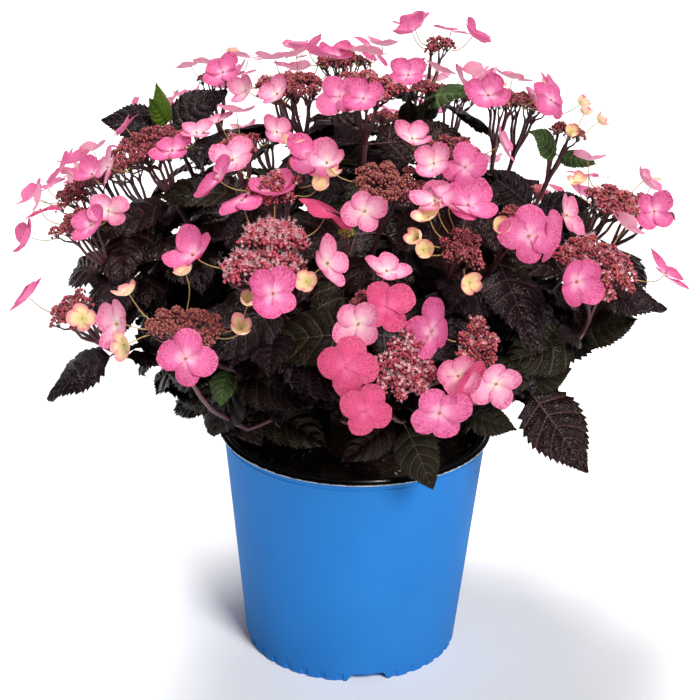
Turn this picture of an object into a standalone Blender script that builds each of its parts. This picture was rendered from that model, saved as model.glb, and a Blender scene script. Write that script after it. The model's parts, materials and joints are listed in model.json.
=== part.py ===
"""A lacecap hydrangea in its nursery pot.

The pot is a plain cup with a black lining that rolls over its edge. It is full of soil, and a short woody crown sits
in the soil's middle. Fourteen canes stand on that crown. Each cane is a bare bough up to its fork, and from there a
mass of shoots with paired leaves, most of them ending in a flat flower head ringed by petalled florets.

Metres, +Z up. The origin is under the middle of the pot, and the front of the plant faces -Y.
"""

import math
import random

import bmesh
import bpy
import numpy as np
from mathutils import Matrix, Vector
from mathutils.bvhtree import BVHTree

GAP = 0.0003

# The pot: the wall's top edge is the size that the rest follows from.
WALL_TOP_RADIUS = 0.1125
WALL_TOP = 0.196
WALL_THICKNESS = 0.0016
FOOT_RADIUS = 0.0915
FLOOR_THICKNESS = 0.004
FOOT_POCKETS = 36
POCKET_HEIGHT = 0.008
POCKET_DEPTH = 0.0012
DRAINS = 4
DRAIN_WIDTH = 0.036
DRAIN_HEIGHT = 0.007
DRAIN_DEPTH = 0.012
DRAIN_TAPER = 0.8
FIRST_DRAIN = -80
BEAD_BELOW_TOP = 0.0065
BEAD_PROUD = 0.0006
LINING_THICKNESS = 0.0012
RIM_RADIUS = 0.1165
RIM_TOP = 0.2045
RIM_BAND = 0.009
LINING_STEPS = 48
SOIL_TOP = 0.181
SOIL_EDGE = 0.176

# The woody crown of the root stock that all canes stand on.
STOCK_TOP = 0.213
STOCK_RADIUS = 0.0205
STOCK_FLARE = 0.0275
STOCK_LEAN = 0.0015
FOOT_RINGS = {"outer": (0.0158, 40), "inner": (0.0075, 72)}

# Limbs, leaves and flowers.
BOUGH_FOOT_RADIUS = 0.0034
MASS_STEM = 0.016
BOUGH_TIP_RADIUS = 0.0027
SHOOT_RADIUS = 0.0023
SHOOT_TIP_RADIUS = 0.0014
BOUGH_SIDES = 6
SHOOT_SIDES = 3
BOUGH_STEPS = 6
SHOOT_STEPS = 4
FORK_SHARE = 0.42
LEAF_LENGTH = 0.098
LEAF_WIDTH = 0.60
LEAF_THICKNESS = 0.0026
PAIR_PLACES = (0.30, 0.56, 0.82)
LEAFY_TIP_PAIR = 0.97
LEAFY_TILT = 35
FLORET_SIZES = {"c": 0.030, "p": 0.041, "m": 0.048, "d": 0.048}
FLORET_THICKNESS = 0.0022
PEDICEL_RADIUS = 0.0011
PEDICEL_BEYOND_DOME = 0.016
CLEARANCE = 0.004
RIM_CLEARANCE = 0.006
FREE_SHARE = 0.84
# What is tried to find room for a floret (share of its size, lift) and for a leaf (share, swing in degrees, lift).
FLORET_TRIES = ((1, 0), (1, 0.007), (1, -0.008), (0.85, 0.003), (0.85, 0.011), (0.85, -0.011), (0.7, 0.015))
LEAF_TRIES = (
    (1, 0, 0),
    (1, 22, 0.1),
    (1, -22, 0.1),
    (0.85, 0, 0.3),
    (0.85, 30, -0.2),
    (0.85, -30, -0.2),
    (0.7, 0, 0.5),
    (0.7, 35, 0),
    (0.7, -35, 0),
    (0.58, 0, 0.7),
    (0.58, 55, 0.1),
    (0.58, -55, 0.1),
)

# Each cane: its foot on the stock (a ring, and the step round it), its flowering shoots and its leafy shoots.
# A flowering shoot is: bearing in degrees (0 is +X, -90 the front), reach from the pot's axis, height, tilt of the
# head in degrees, radius of its domed middle, and its florets. A floret is its hour round the head, where 0 points
# away from the pot's axis and hours run anticlockwise from above, with the letter of its age: cream, pale, mid, deep.
# A leafy shoot is: bearing, reach and height of its tip.
CANES = {
    "front": (
        ("outer", -2),
        (
            (-82, 0.255, 0.370, 58, 0.027, "9d 10.5d 1m 2.3d"),
            (-69, 0.249, 0.382, 42, 0.020, "8.5m 10.5p 0p"),
            (-90, 0.221, 0.409, 35, 0.009, "4.5p 0p 2d"),
        ),
        ((-72, 0.125, 0.262), (-95, 0.120, 0.262)),
    ),
    "front_left": (
        ("outer", -3),
        (
            (-121, 0.249, 0.382, 25, 0.033, "7c 8.5p 9.5c 10.5c 4.3p 3.2c 1.2m"),
            (-110, 0.190, 0.441, 10, 0.028, "7.8m 6.7m 4.5d"),
            (-109, 0.220, 0.428, 12, 0.034, "9.3m 1m 3p 2c"),
        ),
        ((-118, 0.125, 0.262), (-138, 0.150, 0.275)),
    ),
    "left_low": (
        ("outer", -4),
        (
            (-150, 0.260, 0.357, 25, 0.022, "9.5m 3p"),
            (-164, 0.234, 0.405, 25, 0.023, "9.7d 11m 3m 4.3p"),
        ),
        ((-160, 0.155, 0.272),),
    ),
    "left": (
        ("inner", -2),
        (
            (-178, 0.217, 0.425, 25, 0.018, "9p 10.8m 9.9m 3.3m"),
            (-167, 0.174, 0.461, 20, 0.034, "9.5m 0p 3.6m 4.5p 2.5p"),
            (-144, 0.120, 0.476, 15, 0.019, "8.7p 7.8p 4.3p"),
        ),
        ((178, 0.140, 0.300),),
    ),
    "front_top": (
        ("inner", -1),
        (
            (-119, 0.140, 0.460, 15, 0.024, "9.7m 8.5p 5.2m 6.2c 3c 4c"),
            (-94, 0.153, 0.440, 20, 0.006, ""),
            (-82, 0.142, 0.471, 22, 0.028, "11p 8.5p"),
        ),
        ((-100, 0.110, 0.340),),
    ),
    "front_right": (
        ("outer", -1),
        (
            (-67, 0.198, 0.437, 38, 0.020, "6.7p 5.3m 6p 7.5c 8.5c 9.2c 0c"),
            (-50, 0.190, 0.448, 25, 0.017, "10.8m 0m 1.2d 9.2c 3.2p"),
            (-56, 0.125, 0.486, 18, 0.022, "8.5p 11.7m 10p 2.3p"),
        ),
        ((-50, 0.135, 0.262),),
    ),
    "right_low": (
        ("outer", 0),
        (
            (-38, 0.231, 0.409, 22, 0.037, "1.7m 9.7m"),
            (-17, 0.209, 0.433, 20, 0.025, "4.7m 7.5p 2.5p 1m 9.7p"),
        ),
        ((-35, 0.165, 0.285), (-12, 0.155, 0.275)),
    ),
    "right": (
        ("inner", 0),
        (
            (10, 0.117, 0.489, 12, 0.019, "4.3p 7.7m 2.3p 11m 0.3m"),
            (5, 0.168, 0.464, 15, 0.016, "2c 1c 6c"),
            (10, 0.245, 0.388, 25, 0.026, "10.5m 0p 1.5m 4p"),
        ),
        ((10, 0.140, 0.270),),
    ),
    "top": (
        ("inner", 2),
        (
            (-169, 0.056, 0.505, 5, 0.029, "9.3p 8.6p 7.8m 2.2p 1p"),
            (-82, 0.025, 0.511, 5, 0.029, "6.9m 6.2p 5.6p 10.8m 11.6m"),
            (38, 0.064, 0.493, 10, 0.015, "2.5d 6.8m 1p 10.7p"),
        ),
        (),
    ),
    "back_top": (
        ("inner", 1),
        (
            (58, 0.117, 0.510, 10, 0.015, "2.5m 5.5m 0.3m 9.5m"),
            (98, 0.135, 0.482, 15, 0.026, "0m 2p 4.5m 7m 10p"),
        ),
        (),
    ),
    "back_right": (
        ("outer", -8),
        (
            (36, 0.175, 0.460, 15, 0.024, "0m 2m 4.5p 8p 10m"),
            (25, 0.235, 0.408, 25, 0.022, "11p 1m 9c 3m"),
            (52, 0.250, 0.380, 30, 0.028, "0d 1.7m 10m 4p"),
            (66, 0.200, 0.440, 20, 0.025, "11m 1.5p 3.5m 8.5c"),
        ),
        ((35, 0.150, 0.270), (62, 0.140, 0.265)),
    ),
    "back": (
        ("outer", -7),
        (
            (84, 0.240, 0.396, 25, 0.024, "0m 2p 10m 4m"),
            (112, 0.190, 0.449, 18, 0.028, "1m 3p 6p 9m 11m"),
            (112, 0.250, 0.382, 30, 0.022, "0p 1.6d 10.2m"),
        ),
        ((92, 0.140, 0.265), (116, 0.140, 0.265)),
    ),
    "back_left": (
        ("outer", -6),
        (
            (136, 0.212, 0.430, 20, 0.027, "0m 2m 4p 9m 10.5p"),
            (146, 0.255, 0.378, 30, 0.024, "0.5m 2.3p 9.8m"),
        ),
        ((142, 0.150, 0.270),),
    ),
    "back_left_top": (
        ("outer", -5),
        (
            (146, 0.152, 0.481, 12, 0.017, "10.5p 11.3p 9c 8p 4.8m"),
            (170, 0.240, 0.393, 25, 0.025, "0m 2p 9.6m 11m"),
        ),
        ((163, 0.170, 0.448), (168, 0.150, 0.275)),
    ),
}

# Large outer leaves that hang clear of the rest: the cane, then bearing, reach and height of the leaf's root and tip.
HUNG_LEAVES = (
    ("right_low", (-42, 0.175, 0.293), (-37, 0.250, 0.224)),
    ("right_low", (-34, 0.225, 0.345), (-54, 0.232, 0.342)),
    ("right_low", (-30, 0.225, 0.350), (-26, 0.280, 0.358)),
    ("right_low", (-21, 0.218, 0.372), (-19, 0.284, 0.350)),
    ("left_low", (-155, 0.228, 0.296), (-154, 0.280, 0.272)),
    ("left_low", (-157, 0.212, 0.392), (-152, 0.240, 0.340)),
)

COLOURS = {
    "wall": (0.05, 0.24, 0.75, 0.45),
    "lining": (0.01, 0.01, 0.012, 0.25),
    "soil": (0.035, 0.022, 0.015, 0.95),
    "bark": (0.10, 0.045, 0.05, 0.6),
    "foliage": (0.045, 0.022, 0.032, 0.5),
}


def material(name):
    """A Principled material in the named colour, whose fourth value is its roughness."""
    made = bpy.data.materials.get(name) or bpy.data.materials.new(name)
    made.use_nodes = True
    shader = made.node_tree.nodes["Principled BSDF"]
    red, green, blue, roughness = COLOURS[name]
    shader.inputs["Base Color"].default_value = (red, green, blue, 1)
    shader.inputs["Roughness"].default_value = roughness
    return made


def new_collection(name):
    made = bpy.data.collections.new(name)
    bpy.context.scene.collection.children.link(made)
    return made


def object_from(mesh, name, collection, colour):
    mesh.materials.clear()
    mesh.materials.append(material(colour))
    made = bpy.data.objects.new(name, mesh)
    collection.objects.link(made)
    return made


def mesh_from(shape, name):
    """Turns a bmesh into a mesh and frees it."""
    made = bpy.data.meshes.new(name)
    shape.to_mesh(made)
    shape.free()
    return made


def place(bearing, reach, height):
    angle = math.radians(bearing)
    return Vector((reach * math.cos(angle), reach * math.sin(angle), height))


def outward(point):
    """The level direction away from the pot's axis."""
    return Vector((point.x, point.y, 0)).normalized()


# Turned pieces


def turned(name, profile, steps, colour, collection):
    """A profile of (radius, height) points, listed from the top of the outer side down, turned about Z."""
    shape = bmesh.new()
    points = [shape.verts.new((radius, 0, height)) for radius, height in profile]
    for start, end in zip(points, points[1:]):
        shape.edges.new((start, end))
    made = object_from(mesh_from(shape, name), name, collection, colour)
    screw = made.modifiers.new("turn", "SCREW")
    screw.steps = screw.render_steps = steps
    screw.use_merge_vertices = True
    screw.merge_threshold = 0.0001
    return made


def applied(made):
    """Replaces an object's mesh by what its modifiers make of it."""
    graph = bpy.context.evaluated_depsgraph_get()
    mesh = bpy.data.meshes.new_from_object(made.evaluated_get(graph))
    made.modifiers.clear()
    made.data = mesh
    return made


def wall_radius(height):
    """The pot wall's outer radius, which grows evenly from the foot to the top edge."""
    return FOOT_RADIUS + (WALL_TOP_RADIUS - FOOT_RADIUS) * height / WALL_TOP


def drain_cutter(bearing, cutters):
    """A block through the foot of the wall, narrower at its top."""
    shape = bmesh.new()
    bmesh.ops.create_cube(shape, size=1)
    for vert in shape.verts:
        narrow = DRAIN_TAPER if vert.co.z > 0 else 1
        vert.co.x *= DRAIN_DEPTH
        vert.co.y *= DRAIN_WIDTH * narrow
        vert.co.z = DRAIN_HEIGHT if vert.co.z > 0 else -DRAIN_HEIGHT
    cutter = object_from(mesh_from(shape, "drain"), f"drain_cutter_{bearing}", cutters, "wall")
    cutter.location = place(bearing, FOOT_RADIUS - WALL_THICKNESS, 0)
    cutter.rotation_euler.z = math.radians(bearing)
    cutter.hide_render = True
    cutter.display_type = "WIRE"
    return cutter


def build_pot_wall(parts, cutters):
    inner_foot = wall_radius(FLOOR_THICKNESS) - WALL_THICKNESS
    bead = WALL_TOP - BEAD_BELOW_TOP
    profile = [
        (0, FLOOR_THICKNESS),
        (inner_foot, FLOOR_THICKNESS),
        (WALL_TOP_RADIUS - WALL_THICKNESS, WALL_TOP),
        (WALL_TOP_RADIUS, WALL_TOP),
        (wall_radius(bead) + BEAD_PROUD, bead),
        (wall_radius(bead), bead - BEAD_PROUD),
        (wall_radius(POCKET_HEIGHT), POCKET_HEIGHT),
        (wall_radius(POCKET_HEIGHT), POCKET_HEIGHT - 0.0008),
        (FOOT_RADIUS, 0.0012),
        (FOOT_RADIUS - 0.0012, 0),
        (0, 0),
    ]
    wall = applied(turned("pot_wall", profile, FOOT_POCKETS * 2, "wall", parts))
    for vert in wall.data.vertices:
        radius = vert.co.xy.length
        step = round(math.atan2(vert.co.y, vert.co.x) / math.tau * FOOT_POCKETS * 2)
        if vert.co.z < POCKET_HEIGHT - 0.0004 and radius > inner_foot + 0.0005 and step % 2:
            vert.co.xy *= 1 - POCKET_DEPTH / radius
    for number in range(DRAINS):
        cut = wall.modifiers.new(f"drain_{number}", "BOOLEAN")
        cut.operation = "DIFFERENCE"
        cut.object = drain_cutter(FIRST_DRAIN + number * 360 / DRAINS, cutters)
    return wall


def build_pot_lining(parts):
    outer_top = WALL_TOP_RADIUS - WALL_THICKNESS - GAP * 2
    outer_foot = wall_radius(FLOOR_THICKNESS) - WALL_THICKNESS - GAP * 2
    foot = FLOOR_THICKNESS + GAP
    under_rim = WALL_TOP + GAP
    profile = [
        (RIM_RADIUS - RIM_BAND, RIM_TOP - 0.0012),
        (RIM_RADIUS - RIM_BAND * 0.6, RIM_TOP),
        (RIM_RADIUS - 0.0020, RIM_TOP - 0.0006),
        (RIM_RADIUS, RIM_TOP - 0.0028),
        (RIM_RADIUS, under_rim + 0.0012),
        (RIM_RADIUS - 0.0014, under_rim),
        (outer_top, under_rim),
        (outer_foot, foot),
        (outer_foot - LINING_THICKNESS, foot),
        (outer_top - LINING_THICKNESS, under_rim - 0.006),
        (RIM_RADIUS - RIM_BAND, RIM_TOP - 0.0055),
        (RIM_RADIUS - RIM_BAND, RIM_TOP - 0.0012),
    ]
    return turned("pot_lining", profile, LINING_STEPS, "lining", parts)


def lining_inner_radius(height):
    low = wall_radius(FLOOR_THICKNESS) - WALL_THICKNESS - GAP * 2 - LINING_THICKNESS
    high = WALL_TOP_RADIUS - WALL_THICKNESS - GAP * 2 - LINING_THICKNESS
    return low + (high - low) * (height - FLOOR_THICKNESS) / (WALL_TOP - 0.006 - FLOOR_THICKNESS)


def build_potting_soil(parts):
    foot = FLOOR_THICKNESS + GAP
    profile = [
        (0, SOIL_TOP),
        (STOCK_FLARE + 0.004, SOIL_TOP),
        (0.070, SOIL_TOP - 0.002),
        (lining_inner_radius(SOIL_EDGE) - GAP * 3, SOIL_EDGE),
        (lining_inner_radius(foot) - GAP * 3, foot),
        (0, foot),
    ]
    return turned("potting_soil", profile, 36, "soil", parts)


def build_main_stem(parts):
    """The woody crown: flared and lobed where it meets the soil, flat on top, leaning slightly to the left."""
    foot = SOIL_TOP + GAP
    profile = [
        (0, STOCK_TOP),
        (STOCK_RADIUS, STOCK_TOP),
        (STOCK_RADIUS * 1.03, STOCK_TOP - 0.006),
        (STOCK_RADIUS * 1.05, foot + 0.012),
        (STOCK_FLARE * 0.9, foot + 0.005),
        (STOCK_FLARE, foot),
        (0, foot),
    ]
    stem = applied(turned("main_stem", profile, 20, "bark", parts))
    for vert in stem.data.vertices:
        rise = (vert.co.z - foot) / (STOCK_TOP - foot)
        angle = math.atan2(vert.co.y, vert.co.x)
        vert.co.xy *= 1 + 0.08 * (1 - rise) * math.sin(5 * angle)
        vert.co.x -= STOCK_LEAN * rise
    return stem


# Limbs


def ring_guide(sides):
    """A closed curve of unit radius with this many corners, for limbs to take their section from."""
    name = f"section_{sides}"
    if name in bpy.data.objects:
        return bpy.data.objects[name]
    curve = bpy.data.curves.new(name, "CURVE")
    spline = curve.splines.new("POLY")
    spline.points.add(sides - 1)
    spline.use_cyclic_u = True
    for corner, spot in enumerate(spline.points):
        angle = math.tau * corner / sides
        spot.co = (math.cos(angle), math.sin(angle), 0, 1)
    guide = bpy.data.objects.new(name, curve)
    guide.hide_render = True
    guide.display_type = "WIRE"
    bpy.data.collections["cutters"].objects.link(guide)
    return guide


def tube(name, points, radii, sides, colour, collection):
    """A tapering limb through the points, with flat ends."""
    curve = bpy.data.curves.new(name, "CURVE")
    curve.dimensions = "3D"
    curve.bevel_mode = "OBJECT"
    curve.bevel_object = ring_guide(sides)
    curve.use_fill_caps = True
    spline = curve.splines.new("POLY")
    spline.points.add(len(points) - 1)
    for spot, point, radius in zip(spline.points, points, radii):
        spot.co = (*point, 1)
        spot.radius = radius
    guide = bpy.data.objects.new(name, curve)
    bpy.context.scene.collection.objects.link(guide)
    graph = bpy.context.evaluated_depsgraph_get()
    mesh = bpy.data.meshes.new_from_object(guide.evaluated_get(graph))
    bpy.data.objects.remove(guide)
    shape = bmesh.new()
    shape.from_mesh(mesh)
    bmesh.ops.remove_doubles(shape, verts=shape.verts, dist=0.00001)
    bmesh.ops.recalc_face_normals(shape, faces=shape.faces)
    return object_from(mesh_from(shape, name), name, collection, colour)


def arc(start, start_way, end, end_way, steps):
    """Points along a smooth bend that leaves start along start_way and reaches end along end_way."""
    pull = (end - start).length * 0.4
    first = start + start_way * pull
    last = end - end_way * pull
    points = []
    for step in range(steps + 1):
        t = step / steps
        points.append(
            start * (1 - t) ** 3 + first * 3 * t * (1 - t) ** 2 + last * 3 * t * t * (1 - t) + end * t**3
        )
    return points


def tapered(count, start, end):
    return [start + (end - start) * step / (count - 1) for step in range(count)]


def along_path(points, share):
    """The point at this share of a path's points, and the path's direction there."""
    spot = min(share * (len(points) - 1), len(points) - 1.001)
    before, after = points[int(spot)], points[int(spot) + 1]
    return before.lerp(after, spot % 1), (after - before).normalized()


class Cane:
    """One bough and the shoots that fork from its tip, worked out from the cane's row."""

    def __init__(self, name, row):
        (ring, step), flowering, leafy = row
        self.name = name
        radius, spacing = FOOT_RINGS[ring]
        self.foot = place(step * spacing, radius, STOCK_TOP + GAP)
        heads = [place(*shoot[:3]) for shoot in flowering]
        middle = sum(heads, Vector()) / len(heads)
        self.fork = self.foot.lerp(middle, FORK_SHARE)
        self.fork.z -= 0.1 * Vector((middle.x, middle.y)).length
        rise = Vector((0, 0, 1))
        self.fork_way = ((self.fork - self.foot).normalized() + rise * 0.25).normalized()
        self.bough = arc(self.foot, rise, self.fork, self.fork_way, BOUGH_STEPS)
        # The end stretches are straight, so that the flat ends face the stock and the stem of the mass.
        self.bough[1] = self.foot + rise * (self.bough[1] - self.foot).length
        self.bough[-2] = self.fork - self.fork_way * (self.fork - self.bough[-2]).length
        self.crotch = self.fork + self.fork_way * MASS_STEM
        self.heads = []
        self.shoots = []
        for bearing, reach, height, tilt, dome, florets in flowering:
            self.add_shoot(place(bearing, reach, height), tilt, dome, florets)
        for tip in leafy:
            self.add_shoot(place(*tip), LEAFY_TILT, None, "")

    def add_shoot(self, tip, tilt, dome, florets):
        tilt = math.radians(tilt)
        axis = outward(tip) * math.sin(tilt) + Vector((0, 0, math.cos(tilt)))
        out = (tip - self.crotch).normalized()
        start_way = (out + self.fork_way * 0.5 + outward(tip) * 0.25).normalized()
        path = arc(self.crotch - self.fork_way * 0.004, start_way, tip, axis, SHOOT_STEPS)
        self.shoots.append(path)
        self.heads.append((tip, axis, dome, florets))


def round_the_head(tip, axis, hour):
    """The direction, square to the head's axis, of this hour round it."""
    lowest = (outward(tip) - axis * outward(tip).dot(axis)).normalized()
    return Matrix.Rotation(math.radians(30 * hour), 3, axis) @ lowest


def florets_of(head, seed):
    """Centre, face direction and size of each petalled floret round a head."""
    tip, axis, dome, florets = head
    chance = random.Random(seed)
    made = []
    for word in florets.split():
        way = round_the_head(tip, axis, float(word[:-1]))
        size = FLORET_SIZES[word[-1]] * chance.uniform(0.92, 1.08)
        reach = dome + PEDICEL_BEYOND_DOME * chance.uniform(0.85, 1.25)
        lift = 0.006 + 0.006 * chance.random()
        face = (axis + way * chance.uniform(0.5, 1.1) + outward(tip) * 0.35).normalized()
        made.append((tip + way * reach + axis * lift, face, size))
    return made


def leaves_of(path, leafy, seed):
    """Root, direction, face direction and length of each leaf along a shoot, in crossed pairs."""
    chance = random.Random(seed)
    turn = chance.choice((0, 90))
    made = []
    places = PAIR_PLACES + (LEAFY_TIP_PAIR,) if leafy else PAIR_PLACES
    for number, share in enumerate(places):
        point, way = along_path(path, share)
        out = outward(point)
        side = Vector((0, 0, 1)).cross(out)
        side = (side - way * side.dot(way)).normalized()
        front = side.cross(way)
        for half in (0, 180):
            angle = math.radians(turn + 90 * number + half + chance.uniform(-22, 22))
            spread = front * math.cos(angle) + side * math.sin(angle)
            droop = chance.uniform(0.15, 0.45) + 0.5 * (1 - share)
            along = (spread + way * 0.35 - Vector((0, 0, droop))).normalized()
            face = out * 0.55 + Vector((0, 0, 1)) + side * chance.uniform(-0.3, 0.3)
            inward = 0.8 if math.cos(angle) < -0.5 else 1
            length = LEAF_LENGTH * chance.uniform(0.80, 1.06) * inward * (1 - 0.18 * share)
            made.append((point, along, face, length))
    return made


# Pieces of a mass


def frame_matrix(origin, x_way, z_way):
    """A placing matrix with its X along x_way and its Z as near z_way as can be."""
    x = x_way.normalized()
    z = (z_way - x * z_way.dot(x)).normalized()
    y = z.cross(x)
    return Matrix.Translation(origin) @ Matrix((x, y, z)).transposed().to_4x4()


def leaf_shape(length):
    """A pointed oval blade, ridged over its middle, its tip bent down; its root is at the origin, its tip at +X."""
    shape = bmesh.new()
    bmesh.ops.create_cone(shape, cap_ends=True, segments=6, radius1=1, radius2=0, depth=1)
    for vert in shape.verts:
        x, y, z = vert.co
        share = 0.5 if z > 0 else 0.5 + 0.5 * x - 0.04 * (1 - abs(x))
        vert.co = (
            share * length,
            y * length * LEAF_WIDTH * (0.52 if x > 0 else 0.62),
            (LEAF_THICKNESS if z > 0 else 0) - 0.16 * length * share * share,
        )
    return shape


def floret_shape(size):
    """Four broad lobes, level below and raised to the middle above; it faces +Z."""
    shape = bmesh.new()
    bmesh.ops.create_cone(shape, cap_ends=True, segments=8, radius1=1, radius2=0, depth=1)
    for vert in shape.verts:
        x, y, z = vert.co
        lobe = 1 if round(math.degrees(math.atan2(y, x)) / 45) % 2 else 0.8
        vert.co = (x * lobe * size / 2, y * lobe * size / 2, FLORET_THICKNESS if z > 0 else 0)
    return shape


def dome_shape(radius):
    """The crowded middle of a head: a low dome with a level underside."""
    shape = bmesh.new()
    height = radius * 0.5
    bmesh.ops.create_cone(
        shape, cap_ends=True, segments=8, radius1=radius, radius2=radius * 0.6, depth=height
    )
    return shape


def pedicel_shape(start, end):
    """A three-sided stalk between two points."""
    shape = bmesh.new()
    run = end - start
    turn = run.to_track_quat("Z", "Y").to_matrix().to_4x4()
    bmesh.ops.create_cone(
        shape,
        cap_ends=True,
        segments=3,
        radius1=PEDICEL_RADIUS,
        radius2=PEDICEL_RADIUS,
        depth=run.length,
        matrix=Matrix.Translation((start + end) / 2) @ turn,
    )
    return shape


def test_points(matrix, shape):
    """Points spread over a piece: its corners, and the middles of its faces and edges."""
    points = [vert.co for vert in shape.verts]
    points += [face.calc_center_median() for face in shape.faces]
    points += [(edge.verts[0].co + edge.verts[1].co) / 2 for edge in shape.edges]
    return [matrix @ point for point in points]


def skin_of(shape, matrix, share):
    """A search tree of the piece's faces, drawn in towards its middle to this share of its size."""
    middle = sum((vert.co for vert in shape.verts), Vector()) / len(shape.verts)
    shape.verts.index_update()
    corners = [matrix @ middle.lerp(vert.co, share) for vert in shape.verts]
    return BVHTree.FromPolygons(corners, [[vert.index for vert in face.verts] for face in shape.faces])


class Room:
    """Which cane each part of the crown's space belongs to, and what already fills it.

    A point belongs to the cane of the nearest shoot or flower head.
    """

    def __init__(self, canes):
        marks = []
        for cane in canes:
            for path, (tip, _, dome, _) in zip(cane.shoots, cane.heads):
                marks += [(cane.name, along_path(path, step / 16)[0], 0) for step in range(17)]
                if dome:
                    marks.append((cane.name, tip, dome))
        self.owners = np.array([owner for owner, _, _ in marks])
        self.spots = np.array([spot for _, spot, _ in marks])
        self.sizes = np.array([size for _, _, size in marks])
        self.boughs = np.array(
            [along_path(cane.bough, step / 24)[0] for cane in canes for step in range(25)]
        )
        self.skins = []

    def holds(self, name, points):
        """True where all the points lie in this cane's space, clear of every bough and of the pot."""
        points = np.array(points)
        away = np.linalg.norm(points[:, None] - self.spots[None], axis=2) - self.sizes
        own = away[:, self.owners == name].min(axis=1)
        other = away[:, self.owners != name].min(axis=1)
        if (other - own).min() < CLEARANCE or other.min() < CLEARANCE:
            return False
        to_bough = np.linalg.norm(points[:, None] - self.boughs[None], axis=2).min()
        if to_bough < CLEARANCE + BOUGH_FOOT_RADIUS:
            return False
        reach = np.linalg.norm(points[:, :2], axis=1)
        low = points[:, 2] < RIM_TOP + RIM_CLEARANCE
        return not (low & (reach < RIM_RADIUS + RIM_CLEARANCE)).any()

    def fits(self, name, shape, matrix):
        """True where a piece lies in its cane's space and crosses nothing there but what its root sits in."""
        if not self.holds(name, test_points(matrix, shape)):
            return False
        skin = skin_of(shape, matrix, FREE_SHARE)
        return not any(skin.overlap(other) for other in self.skins)

    def fill(self, shape, matrix):
        """Marks the space of a piece as taken."""
        self.skins.append(skin_of(shape, matrix, 1))


def add_piece(shape, matrix, name, collection):
    bmesh.ops.transform(shape, matrix=matrix, verts=shape.verts)
    return object_from(mesh_from(shape, name), name, collection, "foliage")


def add_head(cane, head, number, room, pieces):
    """Adds a head's dome and those of its florets that find room, moved up or down or smaller if need be."""
    tip, axis, dome, _ = head
    if not dome:
        return
    shape = dome_shape(dome)
    matrix = frame_matrix(tip, Vector((0, 1, 0)).cross(axis), axis)
    room.fill(shape, matrix)
    add_piece(shape, matrix, "dome", pieces)
    for centre, face, size in florets_of(head, f"{cane.name} head {number}"):
        for share, lift in FLORET_TRIES:
            shape = floret_shape(size * share)
            spot = centre + axis * lift
            matrix = frame_matrix(spot, (centre - tip).cross(face), face)
            if room.fits(cane.name, shape, matrix):
                room.fill(shape, matrix)
                add_piece(shape, matrix, "floret", pieces)
                stalk = pedicel_shape(tip.lerp(spot, 0.3), spot + face * FLORET_THICKNESS * 0.6)
                add_piece(stalk, Matrix(), "pedicel", pieces)
                break
            shape.free()


def add_leaf(cane, leaf, room, pieces):
    """Adds the leaf where it fits in the cane's space, if need be turned a little or smaller."""
    root, along, face, length = leaf
    for share, swing, lift in LEAF_TRIES:
        shape = leaf_shape(length * share)
        way = Matrix.Rotation(math.radians(swing), 3, "Z") @ along.normalized() + Vector((0, 0, lift))
        matrix = frame_matrix(root - way * 0.003, way, face)
        if room.fits(cane.name, shape, matrix):
            room.fill(shape, matrix)
            add_piece(shape, matrix, "leaf", pieces)
            return True
        shape.free()
    return False


def nearest_on_shoots(cane, point):
    spots = [along_path(path, share / 40)[0] for path in cane.shoots for share in range(41)]
    return min(spots, key=lambda spot: (spot - point).length)


def one_body(mesh):
    """Keeps only the outer skin of the largest body: sealed hollows are filled and loose scraps dropped."""
    shape = bmesh.new()
    shape.from_mesh(mesh)
    left = set(shape.verts)
    skins = []
    while left:
        reached = [left.pop()]
        for vert in reached:
            for edge in vert.link_edges:
                other = edge.other_vert(vert)
                if other in left:
                    left.discard(other)
                    reached.append(other)
        skins.append(reached)
    largest = max(skins, key=len)
    scraps = [vert for skin in skins if skin is not largest for vert in skin]
    bmesh.ops.delete(shape, geom=scraps, context="VERTS")
    bmesh.ops.triangulate(shape, faces=shape.faces)
    return mesh_from(shape, mesh.name)


def start_mass(cane, room, parts):
    """A mass's stem, its shoots and its flower heads, not yet joined."""
    pieces = new_collection(f"pieces_{cane.name}")
    stem_start = cane.fork + cane.fork_way * GAP
    stem_points = [stem_start, cane.crotch - cane.fork_way * 0.003, cane.crotch + cane.fork_way * 0.002]
    radii = [BOUGH_TIP_RADIUS] * len(stem_points)
    tube(f"foliage_{cane.name}", stem_points, radii, BOUGH_SIDES, "foliage", parts)
    for path in cane.shoots:
        radii = tapered(len(path), SHOOT_RADIUS, SHOOT_TIP_RADIUS)
        shoot = tube("shoot", path, radii, SHOOT_SIDES, "foliage", pieces)
        shape = bmesh.new()
        shape.from_mesh(shoot.data)
        room.fill(shape, Matrix())
        shape.free()
    for number, head in enumerate(cane.heads):
        add_head(cane, head, number, room, pieces)


def add_leaves(cane, room):
    pieces = bpy.data.collections[f"pieces_{cane.name}"]
    for owner, root, tip in HUNG_LEAVES:
        if owner != cane.name:
            continue
        root, tip = place(*root), place(*tip)
        start = nearest_on_shoots(cane, root)
        face = outward(tip) * 1.3 + Vector((0, 0, 0.7))
        leaf = (root, tip - root, face, (tip - root).length)
        if add_leaf(cane, leaf, room, pieces):
            add_piece(pedicel_shape(start, root + (tip - root) * 0.15), Matrix(), "leaf_stalk", pieces)
    for number, (path, head) in enumerate(zip(cane.shoots, cane.heads)):
        for leaf in leaves_of(path, not head[2], f"{cane.name} leaves {number}"):
            add_leaf(cane, leaf, room, pieces)


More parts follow.
